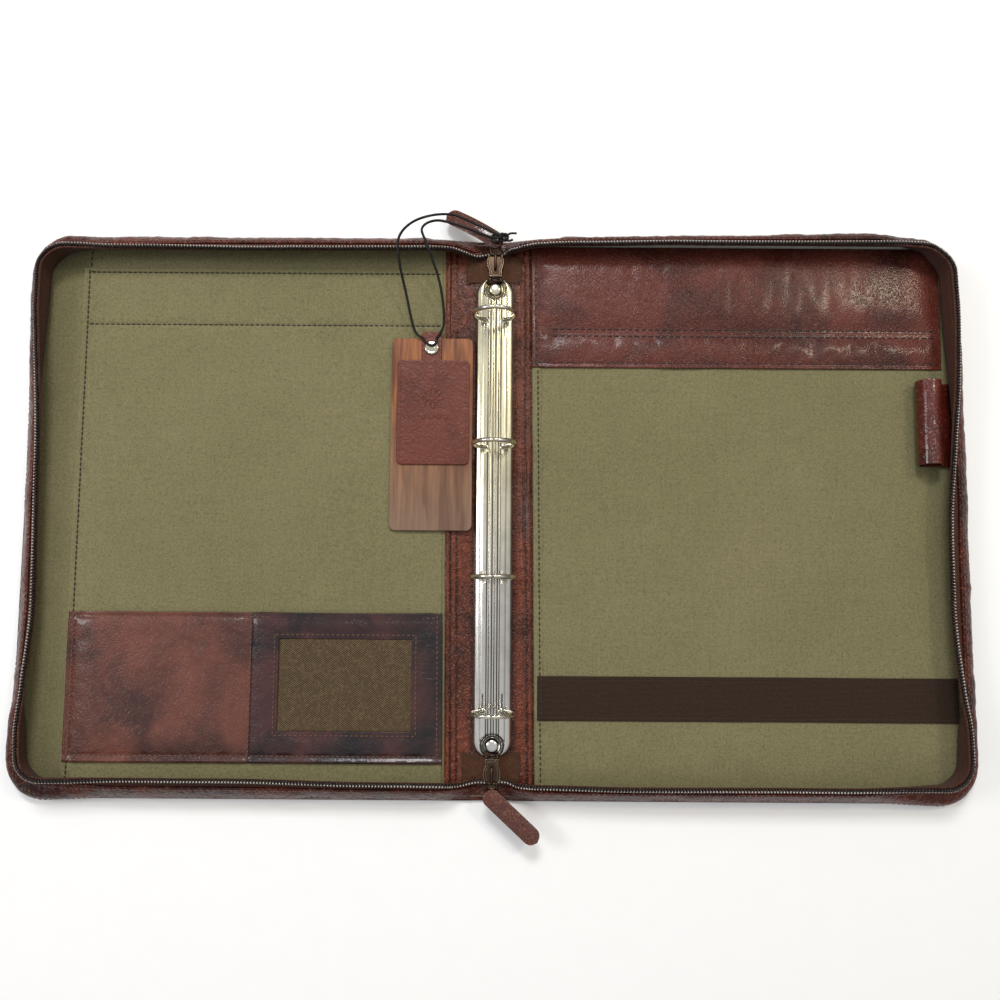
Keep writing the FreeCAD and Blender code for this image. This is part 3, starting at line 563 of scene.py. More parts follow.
def caps(rings, sides):
    return [tuple(range(sides))[::-1], tuple(range((rings - 1) * sides, rings * sides))]


def layered(loops):
    """A solid from outlines stacked upwards: list of (outline, z)."""
    rings, sides = len(loops), len(loops[0][0])
    points = [(x, y, z) for loop, z in loops for x, y in loop]
    return points, bands(rings, sides) + caps(rings, sides)


def lathe(profile, centre, sides=32):
    """A round piece standing on +Z: profile is (radius, z) from the rim up to the middle."""
    cx, cy = centre
    return layered([([(cx + r * c, cy + r * s) for c, s in turn(sides)], z) for r, z in profile])


def tube(path, radius, sides=10, capped=True):
    """Points and faces of a round tube along a path; radius is one number or one per point."""
    path = [Vector(p) for p in path]
    radii = radius if isinstance(radius, list) else [radius] * len(path)
    points = []
    up = None
    for i, p in enumerate(path):
        forward = (path[min(i + 1, len(path) - 1)] - path[max(i - 1, 0)]).normalized()
        if up is None:
            up = Vector((0, 0, 1)) if abs(forward.z) < 0.9 else Vector((1, 0, 0))
        side = forward.cross(up).normalized()
        up = side.cross(forward).normalized()
        points += [tuple(p + (side * c + up * s) * radii[i]) for c, s in turn(sides)]
    faces = bands(len(path), sides) + (caps(len(path), sides) if capped else [])
    return points, turned(faces)


def joined(parts):
    """Several (points, faces) as one."""
    points = []
    faces = []
    for some_points, some_faces in parts:
        base = len(points)
        points.extend(some_points)
        faces.extend(tuple(base + i for i in face) for face in some_faces)
    return points, faces


def mirrored(part, end):
    """Points and faces mirrored to the other end for -1, faces turned to stay outward."""
    points, faces = part
    return [(x, y * end, z) for x, y, z in points], upward(faces, end)


def resampled(path, spacing):
    """Evenly spaced points and directions along a polyline."""
    path = np.array(path, float)
    lengths = np.linalg.norm(np.diff(path, axis=0), axis=1)
    along = np.concatenate([[0], np.cumsum(lengths)])
    count = max(1, int(along[-1] / spacing))
    wanted = (np.arange(count) + 0.5) * along[-1] / count
    spots, ahead, back = [np.stack([np.interp(wanted + shift, along, path[:, k]) for k in range(3)], 1)
                          for shift in (0.0, 0.4, -0.4)]
    directions = ahead - back
    directions /= np.linalg.norm(directions, axis=1)[:, None] + 1e-9
    return spots, directions


STITCH_SIDES = 6
STITCH_RINGS = [(-1.0, 0.15), (-0.72, 0.8), (0.0, 1.0), (0.72, 0.8), (1.0, 0.15)]


def stitch_row(path, pitch, length, radius, up=(0, 0, 1)):
    """Points and faces of a row of sewn stitches along a path."""
    stitches = []
    for spot, forward in zip(*resampled(path, pitch)):
        side = np.cross(up, forward)
        side /= np.linalg.norm(side) + 1e-9
        lift = np.cross(forward, side)
        points = []
        for along, size in STITCH_RINGS:
            sink = 0.35 * radius * along * along
            middle = spot + forward * along * length / 2 - lift * sink
            points += [middle + (side * c + lift * s) * radius * size for c, s in turn(STITCH_SIDES)]
        stitches.append((points, bands(len(STITCH_RINGS), STITCH_SIDES)))
    return joined(stitches)


def sewn(name, paths, stitch, material, slot, up=(0, 0, 1)):
    """One object for several rows of stitches; stitch is their (pitch, length, radius)."""
    return make(name, *joined([stitch_row(path, *stitch, up) for path in paths]), material, slot)


# ---- bodies -------------------------------------------------------------------------
def side_name(side):
    return "left" if side < 0 else "right"


def end_name(end):
    return "top" if end > 0 else "bottom"


def ride(piece, body, *nodes):
    """The piece moves with a body and stands for these CAD nodes."""
    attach(piece, body)
    if nodes:
        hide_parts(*nodes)


def bend(piece, side, *nodes, fold=FOLD):
    """The piece keeps its place, baked into its mesh, and stands for these CAD nodes."""
    start, end = [(side * x * MM, 0, 0) for x in fold]
    side_name(side) + "_cover"
    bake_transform(piece)
    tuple(start)
    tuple(end)
    if nodes:
        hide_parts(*nodes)


# ---- cloth --------------------------------------------------------------------------
CLOTH_SCALE = 0.01                          # scene units per millimetre while it is simulated
CLOTH_FRAMES = 20
CLOTH_SETTINGS = {"quality": 6, "mass": 0.25, "tension_stiffness": 12.0, "compression_stiffness": 12.0,
                  "shear_stiffness": 4.0, "bending_stiffness": 0.8, "air_damping": 3.0,
                  "vertex_group_mass": "pinned", "use_pressure": True}


def settle(points, faces, pinned, pressure, slack, limit):
    """Points (mm) after the sheet has been let loose as cloth between its pinned places.

    slack is how much longer than flat the sheet is cut; no point moves more than limit."""
    start = np.array(points, float)
    mesh = bpy.data.meshes.new("cloth")
    mesh.from_pydata((start * CLOTH_SCALE).tolist(), [], faces)
    obj = bpy.data.objects.new("cloth", mesh)
    bpy.context.scene.collection.objects.link(obj)
    group = obj.vertex_groups.new(name="pinned")
    group.add([int(i) for i in np.nonzero(pinned)[0]], 1.0, "REPLACE")
    cloth = obj.modifiers.new("cloth", "CLOTH")
    for key, value in CLOTH_SETTINGS.items():
        setattr(cloth.settings, key, value)
    cloth.settings.shrink_min = -slack
    cloth.settings.uniform_pressure_force = pressure
    cloth.settings.effector_weights.gravity = 0.0
    cloth.point_cache.frame_start = 1
    cloth.point_cache.frame_end = CLOTH_FRAMES
    for frame_number in range(1, CLOTH_FRAMES + 1):
        bpy.context.scene.frame_set(frame_number)
    settled = obj.evaluated_get(bpy.context.evaluated_depsgraph_get()).to_mesh()
    end = np.array([v.co for v in settled.vertices], float) / CLOTH_SCALE
    bpy.data.objects.remove(obj)
    bpy.data.meshes.remove(mesh)
    bpy.context.scene.frame_set(1)
    moved = end - start
    reach = np.linalg.norm(moved, axis=1)
    factor = np.where(reach > 1e-9, limit * np.tanh(reach / limit) / np.maximum(reach, 1e-9), 1.0)
    return start + moved * factor[:, None]


# ---- the outline and the standing wall ----------------------------------------------
def outline(side, s, inset):
    """Point (x, y) at distance s along a cover's outline, drawn in by inset."""
    pull = 0.25 * inset
    r = CORNER_R - inset + pull
    centre_x, centre_y = TOP_RUN - pull, HALF_HEIGHT - CORNER_R - pull
    half = 1 if s < WALL_LENGTH / 2 else -1
    s = min(s, WALL_LENGTH - s)
    if s < TOP_RUN:
        x, y = s * centre_x / TOP_RUN, HALF_HEIGHT - inset
    elif s < TOP_RUN + ARC_RUN:
        a = math.pi / 2 - (s - TOP_RUN) / CORNER_R
        x, y = centre_x + r * math.cos(a), centre_y + r * math.sin(a)
    else:
        x, y = HALF_WIDTH - inset, centre_y * (1 - 2 * (s - TOP_RUN - ARC_RUN) / SIDE_RUN)
    return side * x, half * y


def eased_rate(rate, rise, run):
    """Slope at a station between a stretch of this rate and its neighbour; level at a peak."""
    if run <= 0 or rate * rise <= 0:
        return 0.0
    other = rise / run
    return 2 * rate * other / (rate + other)


def station(stations, s):
    """A wall's station values at distance s, on a smooth curve through the given stations."""
    last = len(stations) - 1
    i = 1
    while i < last and s > stations[i][0]:
        i += 1
    low, high = stations[i - 1], stations[i]
    before, after = stations[max(i - 2, 0)], stations[min(i + 1, last)]
    run = high[0] - low[0]
    t = min(max((s - low[0]) / run, 0.0), 1.0)
    values = []
    for k in range(1, 5):
        rate = (high[k] - low[k]) / run
        start_pull = run * eased_rate(rate, low[k] - before[k], low[0] - before[0])
        end_pull = run * eased_rate(rate, after[k] - high[k], after[0] - high[0])
        values.append(low[k] * (1 + 2 * t) * (1 - t) ** 2 + high[k] * t * t * (3 - 2 * t)
                      + start_pull * t * (1 - t) ** 2 - end_pull * t * t * (1 - t))
    return values


def wall_section(side, s):
    """The wall's cross-section at s as (inset, z): base, knee, leather edge, coil."""
    inset, height, upright, bulge = station(LEFT_STATIONS if side < 0 else RIGHT_STATIONS, s)
    inset += 0.5 * wobble(s, 0, 45, side + 3)
    height += 0.5 * wobble(s, 9, 60, side + 5)
    share = min(1.0, (height - 3.4) / 18.6)
    knee = (mix(bulge, UPRIGHT_KNEE[0], upright) + 0.5 * wobble(s, 30, 16, 2),
            mix(KNEE_HEIGHT * share, UPRIGHT_KNEE[1], upright) + 0.5 * wobble(s, 40, 22, 4))
    edge = (mix(mix(bulge, inset, 0.52), UPRIGHT_EDGE[0], upright),
            mix(EDGE_HEIGHT * share, UPRIGHT_EDGE[1], upright))
    return (0.0, 1.0), knee, edge, (inset, height)


def section_point(section, t):
    """A smooth curve through base, knee and leather edge for t 0..1, then on to the coil for t 1..2."""
    base, knee, edge, coil = section
    if t > 1:
        return [mix(e, c, t - 1) for e, c in zip(edge, coil)]
    u = 1 - t
    peak = [2 * k - 0.5 * (b + e) for b, k, e in zip(base, knee, edge)]
    return [u * u * b + 2 * u * t * p + t * t * e for b, p, e in zip(base, peak, edge)]


def wall_point(side, s, t, inward=0.0):
    """Point on the wall's outer face, or inward of it."""
    section = wall_section(side, s)
    inset, z = section_point(section, t)
    if inward:
        ahead = section_point(section, min(t + 0.05, 2.0))
        back = section_point(section, max(t - 0.05, 0.0))
        run, rise = ahead[0] - back[0], ahead[1] - back[1]
        size = math.hypot(run, rise) or 1.0
        inset += inward * rise / size
        z -= inward * run / size
    return *outline(side, s, inset), z


def wall_band(name, side, margin, marks, depth, material, slot, spacing=2.0):
    """A strip of the wall through the cross-section's marks t, at depth(s, t) inward of its face."""
    along = steps(margin, WALL_LENGTH - margin, spacing)

    def place(s, t):
        return wall_point(side, s, t, depth(s, t))

    return sheet(name, along, marks, place, material, slot, -side)


def gusset(side):
    """Outer leather of the wall, puckered by its seams."""
    def pucker(s, t):
        size = 0.45 * wobble(s, t * 9, 5.5, 11) + 0.25 * wobble(s, t * 20, 2.6, 12)
        return size * math.sin(math.pi * min(max(t, 0.05), 1.0)) ** 0.5

    name = side_name(side) + "_gusset"
    marks = [0.0, 0.06, 0.14, 0.24, 0.34, 0.44, 0.54, 0.64, 0.74, 0.84, 0.93, 1.0, 1.06]
    band = wall_band(name + "_leather", side, 0.0, marks, pucker, "wall", "leather", 1.6)
    thicken(band, 1.2, 0.3)
    bend(band, side, name, "spine_end_gussets", fold=WALL_FOLD)


def gusset_seams(side):
    """Stitches along the wall: beside the base and beside the tape."""
    along = steps(14, WALL_LENGTH - 14, 2.0)
    paths = [[wall_point(side, s, t, shift) for s in along] for t, shift in ((0.24, 0.15), (0.90, -0.1))]
    seams = sewn(side_name(side) + "_gusset_stitches", paths, (3.4, 2.5, 0.42), "brown_thread", "leather")
    bend(seams, side, fold=WALL_FOLD)


def wall_tape(side):
    """Zip tape standing on the leather's edge, with the woven bead beside the coil."""
    def depth(_, t):
        return 1.3 - 0.35 * ridge(t - 1.80, 0.05)

    name = side_name(side)
    marks = [0.80, 0.9, 1.0, 1.12, 1.25, 1.4, 1.55, 1.68, 1.74, 1.77, 1.80, 1.83, 1.86, 1.92, 2.0]
    band = wall_band(name + "_tape_fabric", side, COIL_START, marks, depth, "tape", "twill")
    thicken(band, 0.7)
    bend(band, side, name + "_zip_tape", fold=WALL_FOLD)


def wall_coil(side):
    """The zip's nylon coil: one wire wound round a cord along the edge of the tape; the cord is near black
    as painted shade between the turns, and pale beads on the crests are painted highlights.
    """
    turn_width, turn_depth, wire_r = 1.35, 0.9, 0.40
    name = side_name(side)
    length = WALL_LENGTH - 2 * COIL_START
    spots = []
    for s in steps(COIL_START, COIL_START + length, 1.2):
        low = Vector(wall_point(side, s, 1.86, 0.1))
        high = Vector(wall_point(side, s, 2.0, 0.1))
        out = Vector(wall_point(side, s, 1.95, -1.0)) - Vector(wall_point(side, s, 1.95, 1.0))
        spots.append((high, (high - low).normalized(), out.normalized()))
    per_turn = 9
    count = int(length / COIL_PITCH * per_turn)
    wire = []
    for k in range(count + 1):
        place = k / count * (len(spots) - 1)
        i = min(int(place), len(spots) - 2)
        middle, up, out = [a.lerp(b, place - i) for a, b in zip(spots[i], spots[i + 1])]
        angle = 2 * math.pi * k / per_turn
        wire.append(middle + up * turn_width * math.cos(angle) + out * (turn_depth * math.sin(angle) + 0.3))
    coil = make(name + "_coil", *tube(wire, wire_r, 5), "coil", "coil")
    # painted shade: the real cord inside the coil is made near black so the gaps between the turns read
    # dark
    core = [middle + out * 0.25 for middle, up, out in spots]
    cord = make(name + "_coil_shade_cord", *tube(core, 0.85, 8), "coil_core", "coil")
    # painted highlights: pale beads on the coil's crests stand in for the glint of the light on each turn
    crests = [middle + out * 1.15 + up * 0.2 for middle, up, out in spots]
    heads = sewn(name + "_coil_painted_highlights", [crests], (COIL_PITCH, 0.95, 0.6), "coil_head", "coil")
    bend(coil, side, name + "_zip_coil", fold=WALL_FOLD)
    bend(cord, side, fold=WALL_FOLD)
    bend(heads, side, fold=WALL_FOLD)


def wall_lining(side):
    """Canvas inside the wall, from the floor up to the tape."""
    def place(s, t):
        x, y, z = wall_point(side, s, t, 1.9)
        return x, y, max(z, LINING_Z + 0.05)

    name = side_name(side) + "_wall"
    along = steps(36, WALL_LENGTH - 36, 3.0)
    band = sheet(name + "_canvas", along, [mix(0.12, 0.98, j / 10) for j in range(11)], place,
                 "canvas", "canvas", side)
    thicken(band, 0.5, inward=1.0)
    bend(band, side, name + "_lining", fold=WALL_FOLD)


# ---- flat layers of the covers and the spine ----------------------------------------
def half_height_at(x, inset):
    """How far up the outline reaches at |x|, drawn in by inset."""
    past = max(0.0, abs(x) - TOP_RUN)
    r = CORNER_R - inset
    return HALF_HEIGHT - CORNER_R + math.sqrt(max(0.0, r * r - past * past))


def edge_distance(x, y):
    return min(HALF_WIDTH - abs(x), half_height_at(x, 0.0) - abs(y))


def cover_grid(side, x_start, inset, spacing):
    """Grid over a cover: a list of (x, y) row by row, and its rows and columns."""
    corner = HALF_WIDTH - inset - TOP_RUN
    xs = steps(x_start, TOP_RUN, spacing)
    xs += [TOP_RUN + corner * math.sin(math.pi / 2 * k / 8) for k in range(1, 9)]
    columns = max(3, int(2 * HALF_HEIGHT / spacing))
    points = []
    for x in xs:
        reach = half_height_at(x, inset)
        points += [(side * x, reach * (2 * j / (columns - 1) - 1)) for j in range(columns)]
    return points, len(xs), columns


def outer_cover(side):
    """Outside leather of one cover, reaching in to the spine."""
    name = side_name(side)
    flat, rows, columns = cover_grid(side, 12.0, 0.0, 4.0)
    points = [(x, y, 1.45 + 0.5 * (1 - between(edge_distance(x, y), 0.0, 5.0))) for x, y in flat]
    cover = make(name + "_cover_leather", points, upward(quads(rows, columns), side), "outer", "leather")
    thicken(cover, 1.35, 0.3)
    bend(cover, side, name + "_outer_leather")


def outer_spine():
    def place(x, y):
        return x, y, 1.45

    strip = sheet("spine_cover_leather", steps(-12.3, 12.3, 2.0), steps(-HALF_HEIGHT, HALF_HEIGHT, 4.0),
                  place, "outer", "leather")
    thicken(strip, 1.35, 0.3)
    ride(strip, "spine", "spine_outer_leather")


def outside_stitching():
    """Seam round the outside near the edge, and one on each side of the spine."""
    stitch, down = (3.2, 2.3, 0.3), (0, 0, -1)
    for side in (-1, 1):
        path = [(*outline(side, s, 5.5), OUTSIDE_SEAM_Z) for s in steps(16, WALL_LENGTH - 16, 3.0)]
        name = side_name(side) + "_outside_stitches"
        bend(sewn(name, [path], stitch, "brown_thread", "leather", down), side)
    paths = [[(x, -168, OUTSIDE_SEAM_Z), (x, 168, OUTSIDE_SEAM_Z)] for x in (-10.5, 10.5)]
    ride(sewn("spine_outside_stitches", paths, stitch, "brown_thread", "leather", down), "spine")


def lining_height(x, y, side):
    """Canvas over thin padding, uneven except along its edge."""
    still = between(edge_distance(x, y), 4.0, 12.0)
    return LINING_Z + still * (0.18 * wobble(x, y, 60, side) + 0.08 * wobble(x, y, 18, side + 2))


def skewed(x, y, z):
    """The soft layers beside the spine lean left towards the top edge."""
    a = abs(x)
    lean = LEAN * (y + 170) / 340 * between(a, 14, 20) * (1 - between(a, 34, 75))
    return x - lean, y, z


def floor_lining(side):
    """Canvas floor of one cover, let loose as cloth over its padding."""
    name = side_name(side)
    flat, rows, columns = cover_grid(side, 28.0 if side < 0 else 26.0, 4.6, 5.0)
    points = [skewed(x, y, lining_height(x, y, side)) for x, y in flat]
    faces = upward(quads(rows, columns), side)
    pinned = []
    for k in range(len(points)):
        i, j = divmod(k, columns)
        rim = i in (0, rows - 1) or j in (0, 1, columns - 2, columns - 1)
        pinned.append(rim or (i % 9 == 4 and j % 9 == 4))
    points = settle(points, faces, pinned, 0.3, 0.004, 0.5)
    points[:, 2] = np.maximum(points[:, 2], LINING_Z - 0.1)
    lining = make(name + "_floor_canvas", points, faces, "canvas", "canvas")
    thicken(lining, 0.5, softer=True)
    bend(lining, side, name + "_lining")


def right_lining_hem():
    """Folded left edge of the right lining, sewn down with dark thread."""
    heights = {25.6: 5.6, 25.9: 6.3, 26.5: 6.75, 27.5: 6.8, 29.0: 6.7, 31.0: 6.75, 31.6: 6.3}
    seam_x = 29.2

    def place(x, y):
        lean_x, _, z = skewed(x, y, heights[x])
        return lean_x + 0.25 * wobble(0, y, 20, 8), y, z + 0.1 * wobble(x, y, 12, 9)

    hem = sheet("right_lining_hem", list(heights), steps(-168, 92, 4.0), place, "canvas", "canvas")
    soften(hem)
    bend(hem, 1)
    path = [skewed(seam_x, y, 7.05) for y in steps(-166, 90, 4.0)]
    bend(sewn("right_lining_hem_stitches", [path], (3.3, 2.4, 0.46), "dark_thread", "canvas"), 1)


def spine_lining(side):
    """Grainy leather inside the spine, gathered into pleats where it meets the covers."""
    reach = 26.0 if side > 0 else 36.0
    roll_x = 23.2 if side > 0 else 26.5
    tucked = (23.5, 25.5) if side > 0 else (30, 34)

    def place(x, y):
        unevenness = 0.8 + 0.5 * wobble(0, y, 34, 21 + side)
        roll = x - roll_x - 0.6 * wobble(0, y, 25, 22 + side)
        small_roll = x - roll_x + 4.4 - 1.2 * wobble(0, y, 40, 24 + side)
        z = 5.15 + 0.35 * between(x, 20, 26) + 0.18 * wobble(x, y, 3.2, 28) * between(x, 11, 14)
        z += unevenness * (1.5 * ridge(roll, 1.5) + 0.8 * ridge(small_roll, 1.0))
        return skewed(side * x, y, mix(z, 5.75, between(x, *tucked)))

    lining = sheet(side_name(side) + "_spine_leather", steps(0.0, reach, 0.8), steps(-170.5, 170.5, 2.2),
                   place, "spine", "inner_leather", side)
    thicken(lining, 1.0, softer=True)
    bend(lining, side, "spine_inner_leather")


# ---- ring mechanism -----------------------------------------------------------------
def housing_height(x, y):
    """Arched spring cover with pressed ribs down the middle and a dished seat at each end."""
    a = abs(x)
    if a > HOUSING_SHOULDER:
        z = mix(8.9, 5.0, ((a - HOUSING_SHOULDER) / (HOUSING_BASE - HOUSING_SHOULDER)) ** 1.6)
    else:
        z = 11.0 - 2.1 * (a / HOUSING_SHOULDER) ** 2
    z -= 0.55 * (1 - between(a, 0.5, 1.0))
    z -= 0.45 * between(a, 2.3, 2.8) * (1 - between(a, 3.5, 4.0))
    z -= 0.25 * between(a, 7.4, 7.8) * (1 - between(a, 8.2, 8.6))
    reach = math.hypot(x, max(0.0, RIVET_Y - abs(y)))
    return mix(5.9, z, between(reach, CUP_R - 1.1, CUP_R + 0.3))


def housing_narrowing(y):
    """The housing's ends are rounded where they hold the rivets."""
    round_length, end_width = 9.0, 4.5
    past = max(0.0, abs(y) - (HOUSING_HALF - round_length))
    swell = math.sqrt(max(0.0, 1 - (past / round_length) ** 2))
    return mix(end_width, HOUSING_BASE, swell) / HOUSING_BASE


def housing():
    """The sheet over the mechanism, with a slot where each ring comes through."""
    slot_half = 1.6
    across = [0, 0.5, 0.75, 1.0, 1.6, 2.3, 2.55, 2.8, 3.2, 3.6, 3.95, 4.6, 5.4, 6.3, 7.4, 7.8, 8.2, 8.6,
              8.7, 9.3, 9.9, 10.4, 10.9, 11.4, 11.8, 12.1, HOUSING_BASE]
    xs = [-x for x in across[:0:-1]] + across
    ys = []
    for low, high in zip(RING_Y, RING_Y[1:]):
        ys += steps(low + slot_half, high - slot_half, 3.0)
    for y in RING_Y:
        ys += [y - slot_half, y, y + slot_half]
    for end in (-1, 1):
        ys += [end * y for y in steps(122.2, HOUSING_HALF, 0.6)]
    ys = sorted(set(round(y, 3) for y in ys))

    def place(y, x):
        return x * housing_narrowing(y), y, housing_height(x, y)

    def in_slot(i, j):
        y = (ys[i] + ys[i + 1]) / 2
        a = abs(xs[j] + xs[j + 1]) / 2
        at_ring = 3.6 < a < 8.7 and min(abs(y - ring_y) for ring_y in RING_Y) < slot_half
        beside_end_ring = 5.4 < a < 6.3 and 109.0 < abs(y) < 118.4
        return at_ring or beside_end_ring

    cover = sheet("ring_housing_sheet", ys, xs, place, "sheet", "chrome", -1, in_slot)
    thicken(cover, 0.8, 0.12)
    ride(cover, "spine", "ring_housing")


def rivets():
    """Dome heads on stepped flanges, one at each end of the housing."""
    base = 5.95
    profile = [(5.9, 0), (5.9, 0.35), (5.6, 0.6), (5.0, 0.62), (4.7, 0.75), (4.45, 1.3), (4.15, 1.55),
               (3.9, 2.0), (3.3, 2.5), (2.3, 2.85), (1.2, 3.0), (0.4, 3.02)]
    raised = [(r, base + z) for r, z in profile]
    heads = [lathe(raised, (0, end * RIVET_Y), 40) for end in (-1, 1)]
    ride(make("housing_rivet_heads", *joined(heads), "rivet", "chrome"), "spine", "housing_rivets")


def half_rings(side):
    """Round-wire half rings with toothed tips, standing in the carrier blade."""
    tip_gap = 0.12
    lean = math.asin(RING_FOOT_X / RING_R)
    collar = [(2.0, 9.4), (2.15, 9.8), (2.1, 10.3), (1.5, 10.6)]
    parts = []
    for y in RING_Y:
        path = []
        for k in range(29):
            a = mix(math.asin(tip_gap / RING_R), math.pi - lean, k / 28)
            path.append((side * RING_R * math.sin(a), y, RING_Z + RING_R * math.cos(a)))
        path.append((side * RING_FOOT_X, y, RING_Z - RING_R * math.cos(lean) - 1.2))
        path.append((side * RING_FOOT_X, y, 6.8))
        radii = [RING_WIRE_R * 0.86] + [RING_WIRE_R] * (len(path) - 1)
        parts += [tube(path, radii, 16), lathe(collar, (side * RING_FOOT_X, y), 16)]
    name = side_name(side)
    wires = make(name + "_ring_wires", *joined(parts), "ring", "chrome")
    ride(wires, name + "_ring_set", name + "_half_rings")


# ---- zip ends, sliders and pulls ----------------------------------------------------
def zip_tail(end):
    """End of the zip tape sewn down across the spine, with the last closed coil on it."""
    left, right, low, high, seam_z = -17.3, 16.0, 146.0, 160.0, 6.1

    def place(x, y):
        rise = 2.0 * (1 - between(abs(x), 3.5, 10.0))
        sag = 0.6 * wobble(x, y, 4.0, 31) * between(abs(x), 4, 9)
        frayed_x = x * (1 + 0.07 * wobble(0, y, 6, 33))
        return frayed_x, end * (y + 1.6 * wobble(x, 0, 8, 34)), 5.85 + rise + sag

    name = end_name(end) + "_tail"
    tail = sheet(name + "_fabric", steps(-18.5, 17.0, 0.9), steps(144.6, 162.5, 0.9), place,
                 "tail", "twill", end)
    thicken(tail, 0.6, 0.15)
    ride(tail, "spine", name + "_tape")
    paths = [[(left, end * low, seam_z), (right, end * low, seam_z)]]
    paths += [[(x, end * (low + 0.5), seam_z), (x, end * high, seam_z)] for x in (left, right)]
    ride(sewn(name + "_stitches", paths, (2.6, 1.8, 0.3), "dark_thread", "twill"), "spine")
    turns, per_turn = 8, 10
    wire = []
    for k in range(turns * per_turn + 1):
        a = 2 * math.pi * k / per_turn
        y = mix(145.6, 158.8, k / (turns * per_turn))
        wire.append((2.2 * math.cos(a), end * y, 8.3 + 0.75 * math.sin(a)))
    ride(make(name + "_coil_wire", *tube(wire, 0.45, 6), "coil", "coil"), "spine", name + "_coil")


def shield(shrink):
    """Slider outline: square neck towards the rings, round cheeks and a pointed nose."""
    middle_y = 156.5
    right = [(3.9, 148.0), (3.9, 151.2), (4.1, 152.6), (4.8, 154.2), (5.2, 156.0), (5.25, 157.8),
             (5.0, 159.6), (4.3, 161.4), (3.1, 163.2), (1.6, 164.7), (0.5, 165.4)]
    loop = right + [(-x, y) for x, y in right[::-1]]
    return [(x * (1 - shrink / 5.0), middle_y + (y - middle_y) * (1 - shrink / 9.0)) for x, y in loop]


def plate(loop, low_z, high_z):
    return layered([(loop, low_z), (loop, high_z)])


def slider(end):
    """Slider body: crowned top plate with a raised rim, lower plate, post and bridge."""
    top = [(0.0, 9.25), (0.0, 9.9), (0.25, 10.3), (0.75, 10.35), (0.95, 10.15), (1.4, 10.2), (3.2, 10.45)]
    low = [(0.5, 5.35), (0.1, 5.6), (0.0, 6.4), (0.2, 6.55)]
    parts = [layered([(shield(shrink), z) for shrink, z in plates]) for plates in (top, low)]
    parts.append(plate([(-1.5, 159.3), (1.5, 159.3), (1.2, 164.2), (-1.2, 164.2)], 6.5, 9.3))
    bridge = []
    for k in range(13):
        a = math.pi * k / 12
        bridge.append((0, 157.6 - 5.2 * math.cos(a), 10.2 + 2.5 * math.sin(a) ** 0.7))
    parts.append(tube(bridge, 0.95, 10))
    for side in (-1, 1):
        near, far = sorted((side * 3.1, side * 3.9))
        parts.append(plate([(near, 148.4), (far, 148.4), (far, 152.4), (near, 152.4)], 8.3, 9.3))
    name = end_name(end) + "_slider"
    body = make(name + "_body", *joined([mirrored(part, end) for part in parts]), "bronze", "slider_metal")
    round_edges(body, 0.12, 40)
    ride(body, name, name)
    rims = []
    for shrink, z, r in ((0.3, 10.3, 0.26), (1.6, 10.2, 0.16)):
        rim = [(x, y, z) for x, y in shield(shrink)]
        rims.append(mirrored(tube(rim + rim[:1], r, 8, capped=False), end))
    ride(make(name + "_rim", *joined(rims), "rubbed_bronze", "slider_metal"), name)


def pull_link(end):
    """Bent wire link from the slider's bridge to the tab's stud."""
    corners = [(-2.9, 161.9), (-2.9, 165.5), (-3.3, 168.2), (-3.1, 171.0), (-1.6, 173.3), (0, 173.8),
               (1.6, 173.3), (3.1, 171.0), (3.3, 168.2), (2.9, 165.5), (2.9, 161.9), (-2.9, 161.9)]
    stud = [(1.5, 10.8), (1.5, 13.6), (2.6, 13.7), (2.6, 14.0), (0.3, 14.1)]
    wire = []
    for a, b in zip(corners, corners[1:]):
        wire += [(mix(a[0], b[0], k / 4), mix(a[1], b[1], k / 4), 11.2) for k in range(4)]
    parts = [tube(wire + wire[:2], 0.72, 10, capped=False), lathe(stud, (0, PIVOT_Y), 24)]
    name = end_name(end)
    link = make(name + "_link_wire", *joined([mirrored(part, end) for part in parts]), "bronze",
                "slider_metal")
    ride(link, name + "_link", name + "_pull_link")


def tab(end, angle, curl):
    """Leather tab sewn round its edge, turned about the stud by angle and rising by curl at its tip."""
    top_z, seam_inset = 14.0, 1.25
    reach = TAB_LENGTH - 2 * TAB_HALF
    cos_a, sin_a = math.cos(math.radians(angle)), math.sin(math.radians(angle))

    def placed(x, y, z):
        bent = curl * (y / TAB_LENGTH) ** 2 if y > 0 else 0.0
        dome = 1.1 * (1 - min(1.0, abs(x) / TAB_HALF) ** 2)
        return x * cos_a - y * sin_a, end * (PIVOT_Y + x * sin_a + y * cos_a), z + bent + dome

    def on_strap(y, share):
        past = max(0.0, -y, y - reach)
        return placed(share * math.sqrt(max(0.01, TAB_HALF ** 2 - past ** 2)), y, top_z)

    name = end_name(end)
    strap = sheet(name + "_tab_leather", [mix(-TAB_HALF, reach + TAB_HALF, i / 40) for i in range(41)],
                  [2 * j / 8 - 1 for j in range(9)], on_strap, "tab", "leather", -end)
    thicken(strap, 2.4, 0.55, softer=True)
    ride(strap, name + "_tab", name + "_pull_tab")
    seam_r = TAB_HALF - seam_inset
    loop = arc((0, reach), seam_r, 0, 180, 13) + arc((0, 0), seam_r, 180, 360, 13)
    path = [placed(x, y, top_z + 0.05) for x, y in loop + loop[:1]]
    ride(sewn(name + "_tab_stitches", [path], (2.3, 1.6, 0.27), "brown_thread", "leather"), name + "_tab")


# ---- sewn panels --------------------------------------------------------------------
def seam_steps(start, end, spacing, seams):
    """Evenly spaced marks, with finer ones beside each seam."""
    marks = steps(start, end, spacing)
    for seam in seams:
        marks = [mark for mark in marks if abs(mark - seam) > 2.6 or mark in (start, end)]
        beside = [seam + shift for shift in (-2.0, -1.0, 0.0, 1.0, 2.0)]
        marks += [mark for mark in beside if start + 0.4 < mark < end - 0.4]
    return sorted(marks)


